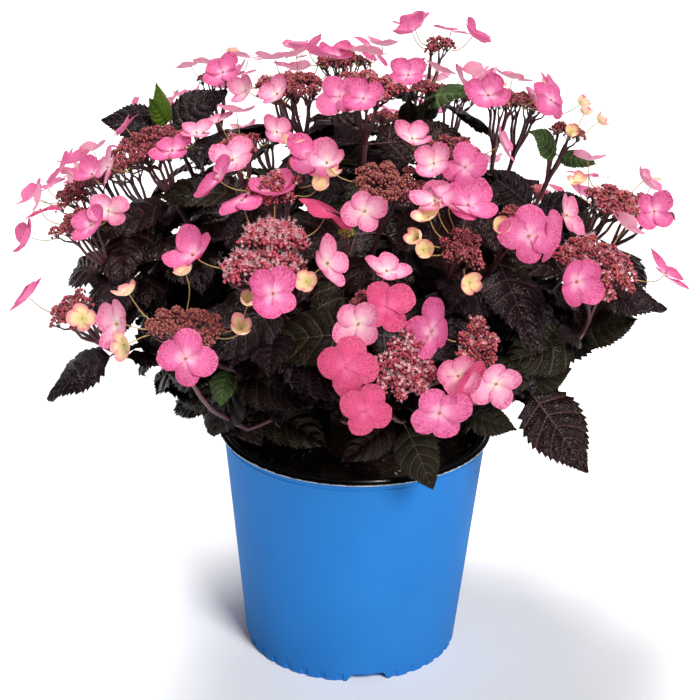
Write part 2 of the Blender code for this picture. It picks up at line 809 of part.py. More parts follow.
def join_mass(cane):
    """Joins all that grows from one bough's tip into one solid."""
    mass = bpy.data.objects[f"foliage_{cane.name}"]
    pieces = bpy.data.collections[f"pieces_{cane.name}"]
    union = mass.modifiers.new("join", "BOOLEAN")
    union.operation = "UNION"
    union.solver = "MANIFOLD"
    union.operand_type = "COLLECTION"
    union.collection = pieces
    applied(mass)
    for piece in list(pieces.objects):
        bpy.data.objects.remove(piece)
    bpy.data.collections.remove(pieces)
    mass.data = one_body(mass.data)


def main():
    for leftover in list(bpy.data.objects):
        bpy.data.objects.remove(leftover)
    parts = new_collection("potted_lacecap_hydrangea")
    cutters = new_collection("cutters")
    build_pot_wall(parts, cutters)
    build_pot_lining(parts)
    build_potting_soil(parts)
    build_main_stem(parts)
    canes = [Cane(name, row) for name, row in CANES.items()]
    room = Room(canes)
    for cane in canes:
        radii = tapered(len(cane.bough), BOUGH_FOOT_RADIUS, BOUGH_TIP_RADIUS)
        tube(f"bough_{cane.name}", cane.bough, radii, BOUGH_SIDES, "bark", parts)
    for cane in canes:
        start_mass(cane, room, parts)
    for cane in canes:
        add_leaves(cane, room)
    for cane in canes:
        join_mass(cane)


main()
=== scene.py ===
"""The looks of a lacecap hydrangea in its nursery pot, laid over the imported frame.

The order is that of the plant's making: pot, lining, soil, woody crown and canes, shoots, flower heads with
their buds and petalled florets, then the leaves that fill what room is left, and last the studio.
"""

import json
import math
import random

import bmesh
import bpy
import numpy as np
from mathutils import Matrix, Vector, noise
from mathutils.bvhtree import BVHTree

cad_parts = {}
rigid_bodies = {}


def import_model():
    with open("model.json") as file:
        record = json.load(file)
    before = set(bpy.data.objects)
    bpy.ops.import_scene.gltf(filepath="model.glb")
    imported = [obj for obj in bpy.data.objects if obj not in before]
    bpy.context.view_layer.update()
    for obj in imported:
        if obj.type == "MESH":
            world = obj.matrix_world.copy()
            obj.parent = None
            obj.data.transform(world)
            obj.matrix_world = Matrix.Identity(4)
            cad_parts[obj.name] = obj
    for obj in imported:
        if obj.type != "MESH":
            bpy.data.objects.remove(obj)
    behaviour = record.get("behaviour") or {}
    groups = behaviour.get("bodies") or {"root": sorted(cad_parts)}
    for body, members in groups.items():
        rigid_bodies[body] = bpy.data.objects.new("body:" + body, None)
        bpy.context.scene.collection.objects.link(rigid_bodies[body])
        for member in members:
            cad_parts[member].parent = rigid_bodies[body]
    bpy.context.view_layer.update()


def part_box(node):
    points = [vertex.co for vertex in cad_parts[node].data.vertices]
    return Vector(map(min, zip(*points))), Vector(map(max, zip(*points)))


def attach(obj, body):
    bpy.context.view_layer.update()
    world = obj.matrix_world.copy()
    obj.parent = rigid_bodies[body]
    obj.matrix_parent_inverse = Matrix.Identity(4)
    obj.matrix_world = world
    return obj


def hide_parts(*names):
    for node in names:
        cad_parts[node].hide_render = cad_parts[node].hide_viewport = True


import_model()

# The pot's wall
# A thin cup moulded in blue polypropylene, with a shallow step of pockets and four drains at its foot so that
# it stands on small pads, and a faint bead below its top edge, where the moulder's pale flash shows.
WALL_UNDER_RIM = 0.0038
WALL_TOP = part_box("pot_wall")[1].z + WALL_UNDER_RIM
WALL_TOP_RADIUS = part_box("pot_wall")[1].x
WALL_THICKNESS = 0.0016
FOOT_RADIUS = 0.0915
FLOOR_THICKNESS = 0.004
BASE_RECESS = 0.0015
POCKETS, STEPS_PER_POCKET = 36, 24
POCKET_HEIGHT, POCKET_DEPTH, POCKET_SHARE, POCKET_SOFTNESS = 0.008, 0.0014, 0.34, 0.25
DRAINS, FIRST_DRAIN = 4, -80
DRAIN_HEIGHT, DRAIN_HALF_WIDTHS, DRAIN_REACH = 0.007, (0.0136, 0.0182), 0.0845
DRAIN_FADES_BY = 0.012
EDGE_ROUND = 0.0004
BEAD_BELOW_TOP, BEAD_PROUD, BEAD_HALF_HEIGHT = 0.0065, 0.0006, 0.0012
OUTER_HEIGHTS = (0.175, 0.15, 0.12, 0.09, 0.06, 0.035, 0.018)
FOOT_HEIGHTS = (0.012, 0.0095, 0.008, 0.0077, 0.0074, 0.0071, 0.0066, 0.0055, 0.004, 0.0025, 0.0014)
FOOT_TURN = ((0.0008, 0.0001), (0.0003, 0.0004), (0, 0.0009), (0, 0.0018))


def srgb(red, green, blue):
    """A colour given by its 8-bit display values, as the linear values that shaders use."""
    values = [part / 255 for part in (red, green, blue)]
    return (*(v / 12.92 if v <= 0.04045 else ((v + 0.055) / 1.055) ** 2.4 for v in values), 1)


def wire(tree, node, values):
    """Sets a node's inputs, each linked from a socket or given a value."""
    for key, value in values.items():
        if isinstance(value, bpy.types.NodeSocket):
            tree.links.new(value, node.inputs[key])
        else:
            node.inputs[key].default_value = value


def add_node(tree, kind, values=None, **settings):
    """Adds a node with its settings and its wired inputs, and gives its outputs."""
    node = tree.nodes.new(kind)
    for key, value in settings.items():
        setattr(node, key, value)
    wire(tree, node, values or {})
    return node.outputs


def maths(tree, operation, *values, kind="Math", output="Value"):
    """The outcome of a sum, on numbers or on vectors."""
    return add_node(tree, f"ShaderNode{kind}", dict(enumerate(values)), operation=operation)[output]


def mixed(tree, factor, first, second):
    """A colour between two others."""
    values = {"Factor": factor, "A": first, "B": second}
    return add_node(tree, "ShaderNodeMix", values, data_type="RGBA")["Result"]


def node_group(name, kind, inputs, outputs):
    """Makes a node tree with named inputs and outputs, and gives it with its inputs and its end."""
    tree = bpy.data.node_groups.new(name, kind)
    for side, sockets in (("INPUT", inputs), ("OUTPUT", outputs)):
        for socket_name, socket_kind, *default in sockets:
            made = tree.interface.new_socket(socket_name, in_out=side, socket_type=f"NodeSocket{socket_kind}")
            if default:
                made.default_value = default[0]
    return tree, tree.nodes.new("NodeGroupInput").outputs, tree.nodes.new("NodeGroupOutput")


def patchy_grain():
    """Shared effect: a colour that drifts into a second one, with fine grain in its height and gloss."""
    tree, given, end = node_group(
        "patchy_grain",
        "ShaderNodeTree",
        (
            ("Place", "Vector"),
            ("Colour", "Color", (0.5, 0.5, 0.5, 1)),
            ("Patch Colour", "Color", (0.4, 0.4, 0.4, 1)),
            ("Patches per Metre", "Float", 40),
            ("Patch Share", "Float", 0.6),
            ("Grains per Metre", "Float", 400),
            ("Grain Depth", "Float", 0.0002),
            ("Roughness", "Float", 0.5),
            ("Roughness Spread", "Float", 0.1),
        ),
        (("Colour", "Color"), ("Roughness", "Float"), ("Normal", "Vector")),
    )
    noises = (
        {"Vector": given["Place"], "Scale": given["Patches per Metre"], "Detail": 3},
        {"Vector": given["Place"], "Scale": given["Grains per Metre"], "Detail": 4},
    )
    patches, grains = (add_node(tree, "ShaderNodeTexNoise", values)["Fac"] for values in noises)
    edges = {"Value": patches, "From Min": 0.38, "From Max": 0.62, "To Max": given["Patch Share"]}
    share = add_node(tree, "ShaderNodeMapRange", edges)["Result"]
    relief = {"Height": grains, "Distance": given["Grain Depth"]}
    wire(tree, end, {
        "Colour": mixed(tree, share, given["Colour"], given["Patch Colour"]),
        "Roughness": maths(tree, "MULTIPLY_ADD", grains, given["Roughness Spread"], given["Roughness"]),
        "Normal": add_node(tree, "ShaderNodeBump", relief)["Normal"],
    })
    return tree


GRAIN = patchy_grain()


def finish(
    name, colour, patch, patches, roughness=0.5, grains=400, depth=0.0002, spread=0.1, share=0.6, specular=0.5
):
    """A material of one colour that drifts into another, with so many patches and grains to the metre."""
    made = bpy.data.materials.new(name)
    made.use_nodes = True
    tree = made.node_tree
    grain = add_node(tree, "ShaderNodeGroup", {
        "Place": add_node(tree, "ShaderNodeTexCoord")["Object"],
        "Colour": srgb(*colour),
        "Patch Colour": srgb(*patch),
        "Patches per Metre": patches,
        "Patch Share": share,
        "Grains per Metre": grains,
        "Grain Depth": depth,
        "Roughness": roughness,
        "Roughness Spread": spread,
    }, node_tree=GRAIN)
    wire(tree, tree.nodes["Principled BSDF"], {
        "Base Color": grain["Colour"],
        "Roughness": grain["Roughness"],
        "Normal": grain["Normal"],
        "Specular IOR Level": specular,
    })
    return made


def parts_of(material):
    """A material's tree, shader and grain group."""
    tree = material.node_tree
    return tree, tree.nodes["Principled BSDF"], next(node for node in tree.nodes if node.type == "GROUP")


def add_pale_ragged_line(material, colour, notches, depth, start, full, beyond=None):
    """A pale, ragged line between two heights, and only outside a radius where one is given."""
    tree, shader, _ = parts_of(material)
    own = shader.inputs["Base Color"].links[0].from_socket
    place = next(node for node in tree.nodes if node.type == "TEX_COORD").outputs["Object"]
    height = add_node(tree, "ShaderNodeSeparateXYZ", {"Vector": place})["Z"]
    ragged = add_node(tree, "ShaderNodeTexNoise", {"Vector": place, "Scale": notches})["Fac"]
    edges = {"Value": maths(tree, "MULTIPLY_ADD", ragged, depth, height), "From Min": start, "From Max": full}
    mask = add_node(tree, "ShaderNodeMapRange", edges)["Result"]
    if beyond:
        level = maths(tree, "MULTIPLY", place, (1, 1, 0), kind="VectorMath", output="Vector")
        reach = maths(tree, "LENGTH", level, kind="VectorMath")
        mask = maths(tree, "MULTIPLY", mask, maths(tree, "GREATER_THAN", reach, beyond))
    wire(tree, shader, {"Base Color": mixed(tree, mask, own, srgb(*colour))})


def as_piece(mesh, name, nodes, materials=()):
    """Puts a finished mesh in the scene as a piece of the plant's one body."""
    for material in materials:
        mesh.materials.append(material)
    piece = bpy.data.objects.new(name, mesh)
    bpy.context.scene.collection.objects.link(piece)
    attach(piece, "root")
    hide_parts(*nodes)


def lofted(name, rings, sharp_angle=35):
    """A closed skin over rings of points, each end drawn to a point in its ring's middle."""
    rings = np.array(rings)
    rows, steps, _ = rings.shape
    points = np.concatenate([rings.reshape(-1, 3), [rings[0].mean(axis=0), rings[-1].mean(axis=0)]])
    first, last = rows * steps, rows * steps + 1
    faces = []
    for step in range(steps):
        after = (step + 1) % steps
        for low in range(0, first - steps, steps):
            faces.append((low + step, low + after, low + after + steps, low + step + steps))
        faces.append((first, after, step))
        faces.append((last, first - steps + step, first - steps + after))
    mesh = bpy.data.meshes.new(name)
    mesh.from_pydata(points.tolist(), [], faces)
    shape = bmesh.new()
    shape.from_mesh(mesh)
    bmesh.ops.recalc_face_normals(shape, faces=shape.faces)
    shape.to_mesh(mesh)
    shape.free()
    mesh.shade_smooth()
    mesh.set_sharp_from_angle(angle=math.radians(sharp_angle))
    return mesh


def wall_radius(height):
    """The wall's outer radius, which grows evenly from the foot to the top edge."""
    return FOOT_RADIUS + (WALL_TOP_RADIUS - FOOT_RADIUS) * height / WALL_TOP


def bearings(steps):
    return np.arange(steps) * math.tau / steps


def circle(bearing, radius, height):
    """Points at these bearings, with one radius and height for all of them or one for each."""
    radius, height = (np.broadcast_to(value, bearing.shape) for value in (radius, height))
    return np.stack([radius * np.cos(bearing), radius * np.sin(bearing), height], axis=1)


def smooth_step(values, low, high):
    share = np.clip((values - low) / (high - low), 0, 1)
    return share * share * (3 - 2 * share)


def pot_wall_rings():
    """Rings from the floor's middle up the inside, over the edge, and down the outside to the underside."""
    bearing = bearings(POCKETS * STEPS_PER_POCKET)
    edge = math.cos(math.pi * POCKET_SHARE)
    wave = np.cos(POCKETS * bearing - math.pi)
    pocket = smooth_step(wave, edge - POCKET_SOFTNESS, edge + POCKET_SOFTNESS)
    spacing = math.tau / DRAINS
    off_drain = (bearing - math.radians(FIRST_DRAIN) + spacing / 2) % spacing - spacing / 2
    narrow, wide = DRAIN_HALF_WIDTHS
    drain = DRAIN_HEIGHT * np.clip((wide - np.abs(off_drain) * FOOT_RADIUS) / (wide - narrow), 0, 1)

    def ring(radius, height):
        return circle(bearing, radius, height)

    def foot_ring(height, inset):
        """A ring of the outer foot, raised over the drains and drawn in at the pockets."""
        raised = drain + height * (1 - drain / DRAIN_FADES_BY)
        depth = POCKET_DEPTH * pocket * (1 - smooth_step(raised, POCKET_HEIGHT - 0.0009, POCKET_HEIGHT))
        return ring(wall_radius(raised) - inset - depth, raised)

    over_drain = np.maximum(FLOOR_THICKNESS, np.where(drain > 0, drain + WALL_THICKNESS, 0))
    inner_foot = wall_radius(0) - WALL_THICKNESS - POCKET_DEPTH
    inner_heights = (0.012, 0.06, 0.13, WALL_TOP - EDGE_ROUND)
    rings = [ring(radius, FLOOR_THICKNESS) for radius in (0.02, 0.055, DRAIN_REACH - 0.002)]
    rings += [ring(radius, over_drain) for radius in (DRAIN_REACH, inner_foot)]
    rings += [ring(wall_radius(height) - WALL_THICKNESS, height) for height in inner_heights]
    rings.append(ring(WALL_TOP_RADIUS - WALL_THICKNESS + EDGE_ROUND, WALL_TOP))
    rings.append(ring(WALL_TOP_RADIUS - EDGE_ROUND, WALL_TOP))
    rings.append(ring(WALL_TOP_RADIUS, WALL_TOP - EDGE_ROUND))
    for share in np.linspace(1.3, -1.3, 11):
        proud = BEAD_PROUD * max(0, 1 - share * share) ** 0.7
        height = WALL_TOP - BEAD_BELOW_TOP + share * BEAD_HALF_HEIGHT
        rings.append(ring(wall_radius(height) + proud, height))
    rings += [ring(wall_radius(height), height) for height in OUTER_HEIGHTS]
    rings += [foot_ring(height, 0) for height in FOOT_HEIGHTS]
    rings += [foot_ring(height, inset) for height, inset in FOOT_TURN]
    rings += [ring(radius, drain) for radius in (0.0882, DRAIN_REACH + 0.0008)]
    rings += [ring(radius, BASE_RECESS) for radius in (DRAIN_REACH - 0.0006, 0.05, 0.02)]
    return rings


pot_blue = finish(
    "pot_blue_polypropylene", (36, 112, 186), (44, 120, 194), 9, 0.58, 1800, 0.00004, specular=0.08
)
add_pale_ragged_line(pot_blue, (214, 216, 214), 420, 0.0016, WALL_TOP, WALL_TOP + 0.0002)
as_piece(lofted("pot_wall_skin", pot_wall_rings()), "pot_wall_skin", ["pot_wall"], [pot_blue])

# The pot's lining
# A glossy black inner pot of recycled polypropylene, pressed into the blue one. Its lip rolls outwards over
# the wall's edge in three small steps, which stiffen it and catch the light, with a painted highlight, a pale
# ragged line, round its outside.
RIM_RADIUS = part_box("pot_lining")[1].x
RIM_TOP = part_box("pot_lining")[1].z
LINING_THICKNESS, LINING_CLEAR, LINING_FOOT = 0.0012, 0.0006, 0.012
LINING_STEPS = 192
LINING_FLOOR = 0.03
# The lip's outline: how far inside the rim's radius, and how far from its top.
RIM_STEPS = (
    (0.0093, -0.0062), (0.0092, -0.0030), (0.0088, -0.0022), (0.0080, -0.0018), (0.0066, -0.0017),
    (0.0061, -0.0013), (0.0057, -0.0004), (0.0050, 0), (0.0038, 0), (0.0032, -0.0004), (0.0029, -0.0014),
    (0.0024, -0.0019), (0.0015, -0.0022), (0.0007, -0.0026), (0.0002, -0.0031), (0, -0.0036), (0, -0.0040),
    (0.0003, -0.0043), (0.0010, -0.0045),
)


def pot_lining_rings():
    outer_top = WALL_TOP_RADIUS - WALL_THICKNESS - LINING_CLEAR
    outer_foot = wall_radius(LINING_FOOT) - WALL_THICKNESS - LINING_CLEAR
    profile = [(outer_foot - LINING_FLOOR, LINING_FOOT + LINING_THICKNESS)]
    profile += [(outer_foot - LINING_THICKNESS, LINING_FOOT + LINING_THICKNESS)]
    profile += [(outer_top - LINING_THICKNESS - 0.001, WALL_TOP - 0.008)]
    profile += [(RIM_RADIUS - inward, RIM_TOP + drop) for inward, drop in RIM_STEPS]
    profile += [(outer_top, WALL_TOP + 0.0003)]
    profile += [(outer_foot, LINING_FOOT), (outer_foot - LINING_FLOOR, LINING_FOOT)]
    return [circle(bearings(LINING_STEPS), radius, height) for radius, height in profile]


rim_black = finish(
    "rim_black_polypropylene", (8, 8, 9), (18, 18, 20), 60, 0.18, 900, 0.00005, spread=0.12, specular=0.34
)
# A pale ragged line low on the lip's outside: a painted highlight along the lip's edge.
add_pale_ragged_line(
    rim_black, (176, 180, 182), 260, 0.0022, RIM_TOP - 0.0021, RIM_TOP - 0.0025, RIM_RADIUS - 0.0006
)
lining = lofted("pot_lining_skin", pot_lining_rings(), 60)
as_piece(lining, "pot_lining_skin", ["pot_lining"], [rim_black])

# The soil
# Dark peat with composted bark, filled to some way under the rim and settled lower at its edge. Its crumbs
# are raised in the surface, and chips of bark and a few pale grains of perlite lie loose on it.
SOIL_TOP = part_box("potting_soil")[1].z
SOIL_EDGE, SOIL_FOOT, SOIL_CLEAR = SOIL_TOP - 0.005, 0.014, 0.0012
SOIL_STEPS, SOIL_RINGS = 180, 44
CRUMBS_PER_METRE, CRUMB_SUNK, CRUMB_HEIGHT = 160, 0.0012, 0.0022
CHIPS_PER_SQUARE_METRE = 34000
CHIP_SIZES = (0.0022, 0.0062)
CHIP_KINDS = 6
PERLITE_SHARE = 0.06
SOIL_SEED = 5


class Growth:
    """A Geometry Nodes tree with named inputs, from its Geometry input to its Geometry output."""

    def __init__(self, name, *inputs):
        whole = ("Geometry", "Geometry")
        self.tree, self.given, self.end = node_group(name, "GeometryNodeTree", (whole, *inputs), (whole,))

    def node(self, kind, values=None, **settings):
        return add_node(self.tree, kind, values, **settings)

    def attribute(self, name, kind):
        return self.node("GeometryNodeInputNamedAttribute", {"Name": name}, data_type=kind)["Attribute"]

    def dealt(self, points, shapes, kind, turn, size):
        """Instances of a collection's shapes on points, picked by each point's kind."""
        whole = self.node(
            "GeometryNodeCollectionInfo",
            {"Collection": self.given[shapes], "Separate Children": True, "Reset Children": True},
        )
        values = {"Points": points, "Instance": whole["Instances"], "Pick Instance": True}
        values |= {"Instance Index": kind, "Rotation": turn, "Scale": size}
        return self.node("GeometryNodeInstanceOnPoints", values)["Instances"]

    def close(self, geometry, material_names):
        """Ends the tree: instances realised, then a material set, by faces' tones where there are several."""
        geometry = self.node("GeometryNodeRealizeInstances", {"Geometry": geometry})["Geometry"]
        tone = self.attribute("tone", "INT") if len(material_names) > 1 else None
        for number, name in enumerate(material_names):
            self.tree.interface.new_socket(name, in_out="INPUT", socket_type="NodeSocketMaterial")
            wanted = {"Geometry": geometry, "Material": self.given[name]}
            if tone:
                how = {"data_type": "INT", "operation": "EQUAL"}
                wanted["Selection"] = self.node("FunctionNodeCompare", {2: tone, 3: number}, **how)["Result"]
            geometry = self.node("GeometryNodeSetMaterial", wanted)["Geometry"]
        wire(self.tree, self.end, {"Geometry": geometry})
        return self


def grow(growth, seed_data, values):
    """Runs a tree on a mesh or curve with the named values, and gives the plain mesh that it makes."""
    source = bpy.data.objects.new("source", seed_data)
    bpy.context.scene.collection.objects.link(source)
    modifier = source.modifiers.new("growth", "NODES")
    modifier.node_group = growth.tree
    items = growth.tree.interface.items_tree
    sockets = {item.name: item.identifier for item in items if item.in_out == "INPUT"}
    for name, value in values.items():
        modifier[sockets[name]] = value
    graph = bpy.context.evaluated_depsgraph_get()
    mesh = bpy.data.meshes.new_from_object(source.evaluated_get(graph))
    source.modifiers.clear()
    bpy.data.objects.remove(source)
    return mesh


def template_collection(name, meshes):
    """Hidden objects that a tree takes its shapes from, in the order given."""
    made = bpy.data.collections.new(name)
    bpy.context.scene.collection.children.link(made)
    for number, mesh in enumerate(meshes):
        template = bpy.data.objects.new(f"{name}_{number:02d}", mesh)
        template.hide_render = True
        made.objects.link(template)
    return made


def discard(collection):
    for template in list(collection.objects):
        bpy.data.objects.remove(template)
    bpy.data.collections.remove(collection)


def around(angle, reach, height=0):
    """A point at this angle, reach and height."""
    return Vector((reach * math.cos(angle), reach * math.sin(angle), height))


def soil_surface():
    bearing = bearings(SOIL_STEPS)
    inner = WALL_TOP_RADIUS - WALL_THICKNESS - LINING_CLEAR - LINING_THICKNESS
    edge, foot = (
        inner - (WALL_TOP_RADIUS - FOOT_RADIUS) * (WALL_TOP - height) / WALL_TOP - SOIL_CLEAR
        for height in (SOIL_EDGE, SOIL_FOOT)
    )
    rings = []
    for radius in np.linspace(0.012, edge, SOIL_RINGS):
        height = SOIL_TOP - (SOIL_TOP - SOIL_EDGE) * (radius / edge) ** 2
        ring = []
        for angle in bearing:
            spot = around(angle, radius)
            crumbs = noise.fractal(spot * CRUMBS_PER_METRE, 1, 2, 5)
            ring.append((spot.x, spot.y, height - CRUMB_SUNK + CRUMB_HEIGHT * crumbs))
        rings.append(ring)
    for radius, height in ((edge - 0.0005, SOIL_EDGE - 0.004), (foot, SOIL_FOOT)):
        rings.append(circle(bearing, radius, height))
    return lofted("soil", rings, 180)


def chip_mesh(name, seed):
    """An angular splinter about one unit long."""
    chance = random.Random(seed)
    shape = bmesh.new()
    bmesh.ops.create_cube(shape, size=1)
    for vert in shape.verts:
        for axis, spans in enumerate(((0.7, 1.1), (0.25, 0.6), (0.12, 0.4))):
            vert.co[axis] *= chance.uniform(*spans)
        vert.co += Vector(chance.uniform(-0.12, 0.12) for _ in range(3))
    mesh = bpy.data.meshes.new(name)
    shape.to_mesh(mesh)
    shape.free()
    return mesh


def scatter_growth():
    """Chips strewn over a surface, each of a random kind, size and turn."""
    tree = Growth(
        "scattered_chips",
        ("Chips", "Collection"),
        ("Chips per Square Metre", "Float"),
        ("Smallest", "Float"),
        ("Largest", "Float"),
        ("Seed", "Int"),
    )
    given = tree.given

    def by_chance(low, high, kind, first, output):
        """A random value between two others; first and output number the sockets that serve its kind."""
        values = {first: low, first + 1: high, "Seed": given["Seed"]}
        return tree.node("FunctionNodeRandomValue", values, data_type=kind)[output]

    facing = tree.node("GeometryNodeInputNormal")["Normal"]
    rise = tree.node("ShaderNodeSeparateXYZ", {"Vector": facing})["Z"]
    upward = tree.node("FunctionNodeCompare", {"A": rise, "B": 0.3}, operation="GREATER_THAN")["Result"]
    strewn = tree.node("GeometryNodeDistributePointsOnFaces", {
        "Mesh": given["Geometry"],
        "Selection": upward,
        "Density": given["Chips per Square Metre"],
        "Seed": given["Seed"],
    })["Points"]
    kind = by_chance(0, CHIP_KINDS - 1, "INT", 4, 2)
    turn = by_chance((-0.5, -0.5, 0), (0.5, 0.5, math.tau), "FLOAT_VECTOR", 0, 0)
    size = by_chance(given["Smallest"], given["Largest"], "FLOAT", 2, 1)
    return tree.close(tree.dealt(strewn, "Chips", kind, turn, size), ["Chip"])


bark_chip = finish("soil_bark_chips", (58, 36, 24), (112, 74, 46), 120, 0.8, 1500, 0.0003)
perlite = finish("soil_perlite", (196, 186, 168), (160, 140, 112), 400, 0.85, 2000, 0.0003)
soil_mesh = soil_surface()
chips = template_collection("chips", [chip_mesh(f"chip_{seed}", seed) for seed in range(CHIP_KINDS)])
scatter = scatter_growth()
for number, (piece_name, material, share) in enumerate(
    (("soil_bark_chips", bark_chip, 1), ("soil_perlite", perlite, PERLITE_SHARE))
):
    strewn_mesh = grow(scatter, soil_mesh, {
        "Chips": chips,
        "Chips per Square Metre": CHIPS_PER_SQUARE_METRE * share,
        "Smallest": CHIP_SIZES[0],
        "Largest": CHIP_SIZES[1],
        "Seed": SOIL_SEED + number,
        "Chip": material,
    })
    as_piece(strewn_mesh, piece_name, ["potting_soil"])
peat = finish("soil_peat", (34, 24, 18), (62, 42, 30), 300, 0.9, 900, 0.0012)
as_piece(soil_mesh, "soil_surface", ["potting_soil"], [peat])
discard(chips)

# The woody crown
# The old foot of the plant: a short, lobed stock of hydrangea wood that flares into the soil, with flaking,
# ridged bark. Every cane stands on its top.
STOCK_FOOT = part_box("main_stem")[0].z
STOCK_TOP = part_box("main_stem")[1].z
STOCK_RADIUS, STOCK_FLARE, STOCK_LEAN = 0.0205, 0.0275, 0.0015
STOCK_STEPS, STOCK_ROWS = 96, 26
STOCK_LOBES, LOBE_DEPTH = 5, 0.08


def stock_rings():
    rings = []
    for row in range(STOCK_ROWS):
        rise = row / (STOCK_ROWS - 1)
        height = STOCK_FOOT + (STOCK_TOP - STOCK_FOOT) * rise
        flare = STOCK_RADIUS + (STOCK_FLARE - STOCK_RADIUS) * max(0, 1 - rise * 3.2) ** 1.6
        ring = []
        for step in range(STOCK_STEPS):
            angle = step * math.tau / STOCK_STEPS
            lobe = 1 + LOBE_DEPTH * (1 - rise) * math.sin(STOCK_LOBES * angle)
            way = around(angle, 1)
            ridges = noise.fractal(Vector((way.x * 4.5, way.y * 4.5, height * 40)), 1, 2, 4)
            radius = flare * lobe * (0.99 + 0.05 * ridges)
            ring.append((way.x * radius - STOCK_LEAN * rise, way.y * radius, height))
        rings.append(ring)
    crown = np.array(rings[-1])
    middle = crown.mean(axis=0)
    return rings + [middle + (crown - middle) * share for share in (0.75, 0.4)]


stock_bark = finish("stock_bark", (70, 48, 38), (112, 84, 66), 90, 0.75, 700, 0.001)
as_piece(lofted("woody_crown", stock_rings(), 50), "woody_crown", ["main_stem"], [stock_bark])

# The canes
# Fourteen canes stand on the crown. Each is a bare bough up to its fork, with thin brown bark that splits in
# long ridges, and from the fork a spray of younger shoots, most of them ending in a flat flower head.
FOOT_RINGS = {"outer": (0.0158, 40), "inner": (0.0075, 72)}
FOOT_SUNK = 0.001
FORK_SHARE, FORK_SAG = 0.42, 0.1
MASS_STEM = 0.016
BOUGH_RADII, BOUGH_SIDES, BOUGH_RIDGE, BOUGH_RIDGES = (0.0036, 0.0027), 14, 0.0009, 220
BOUGH_STEPS, SHOOT_STEPS = 30, 28
LEAFY_TILT = 35
SHOOT_SUNK = 0.004

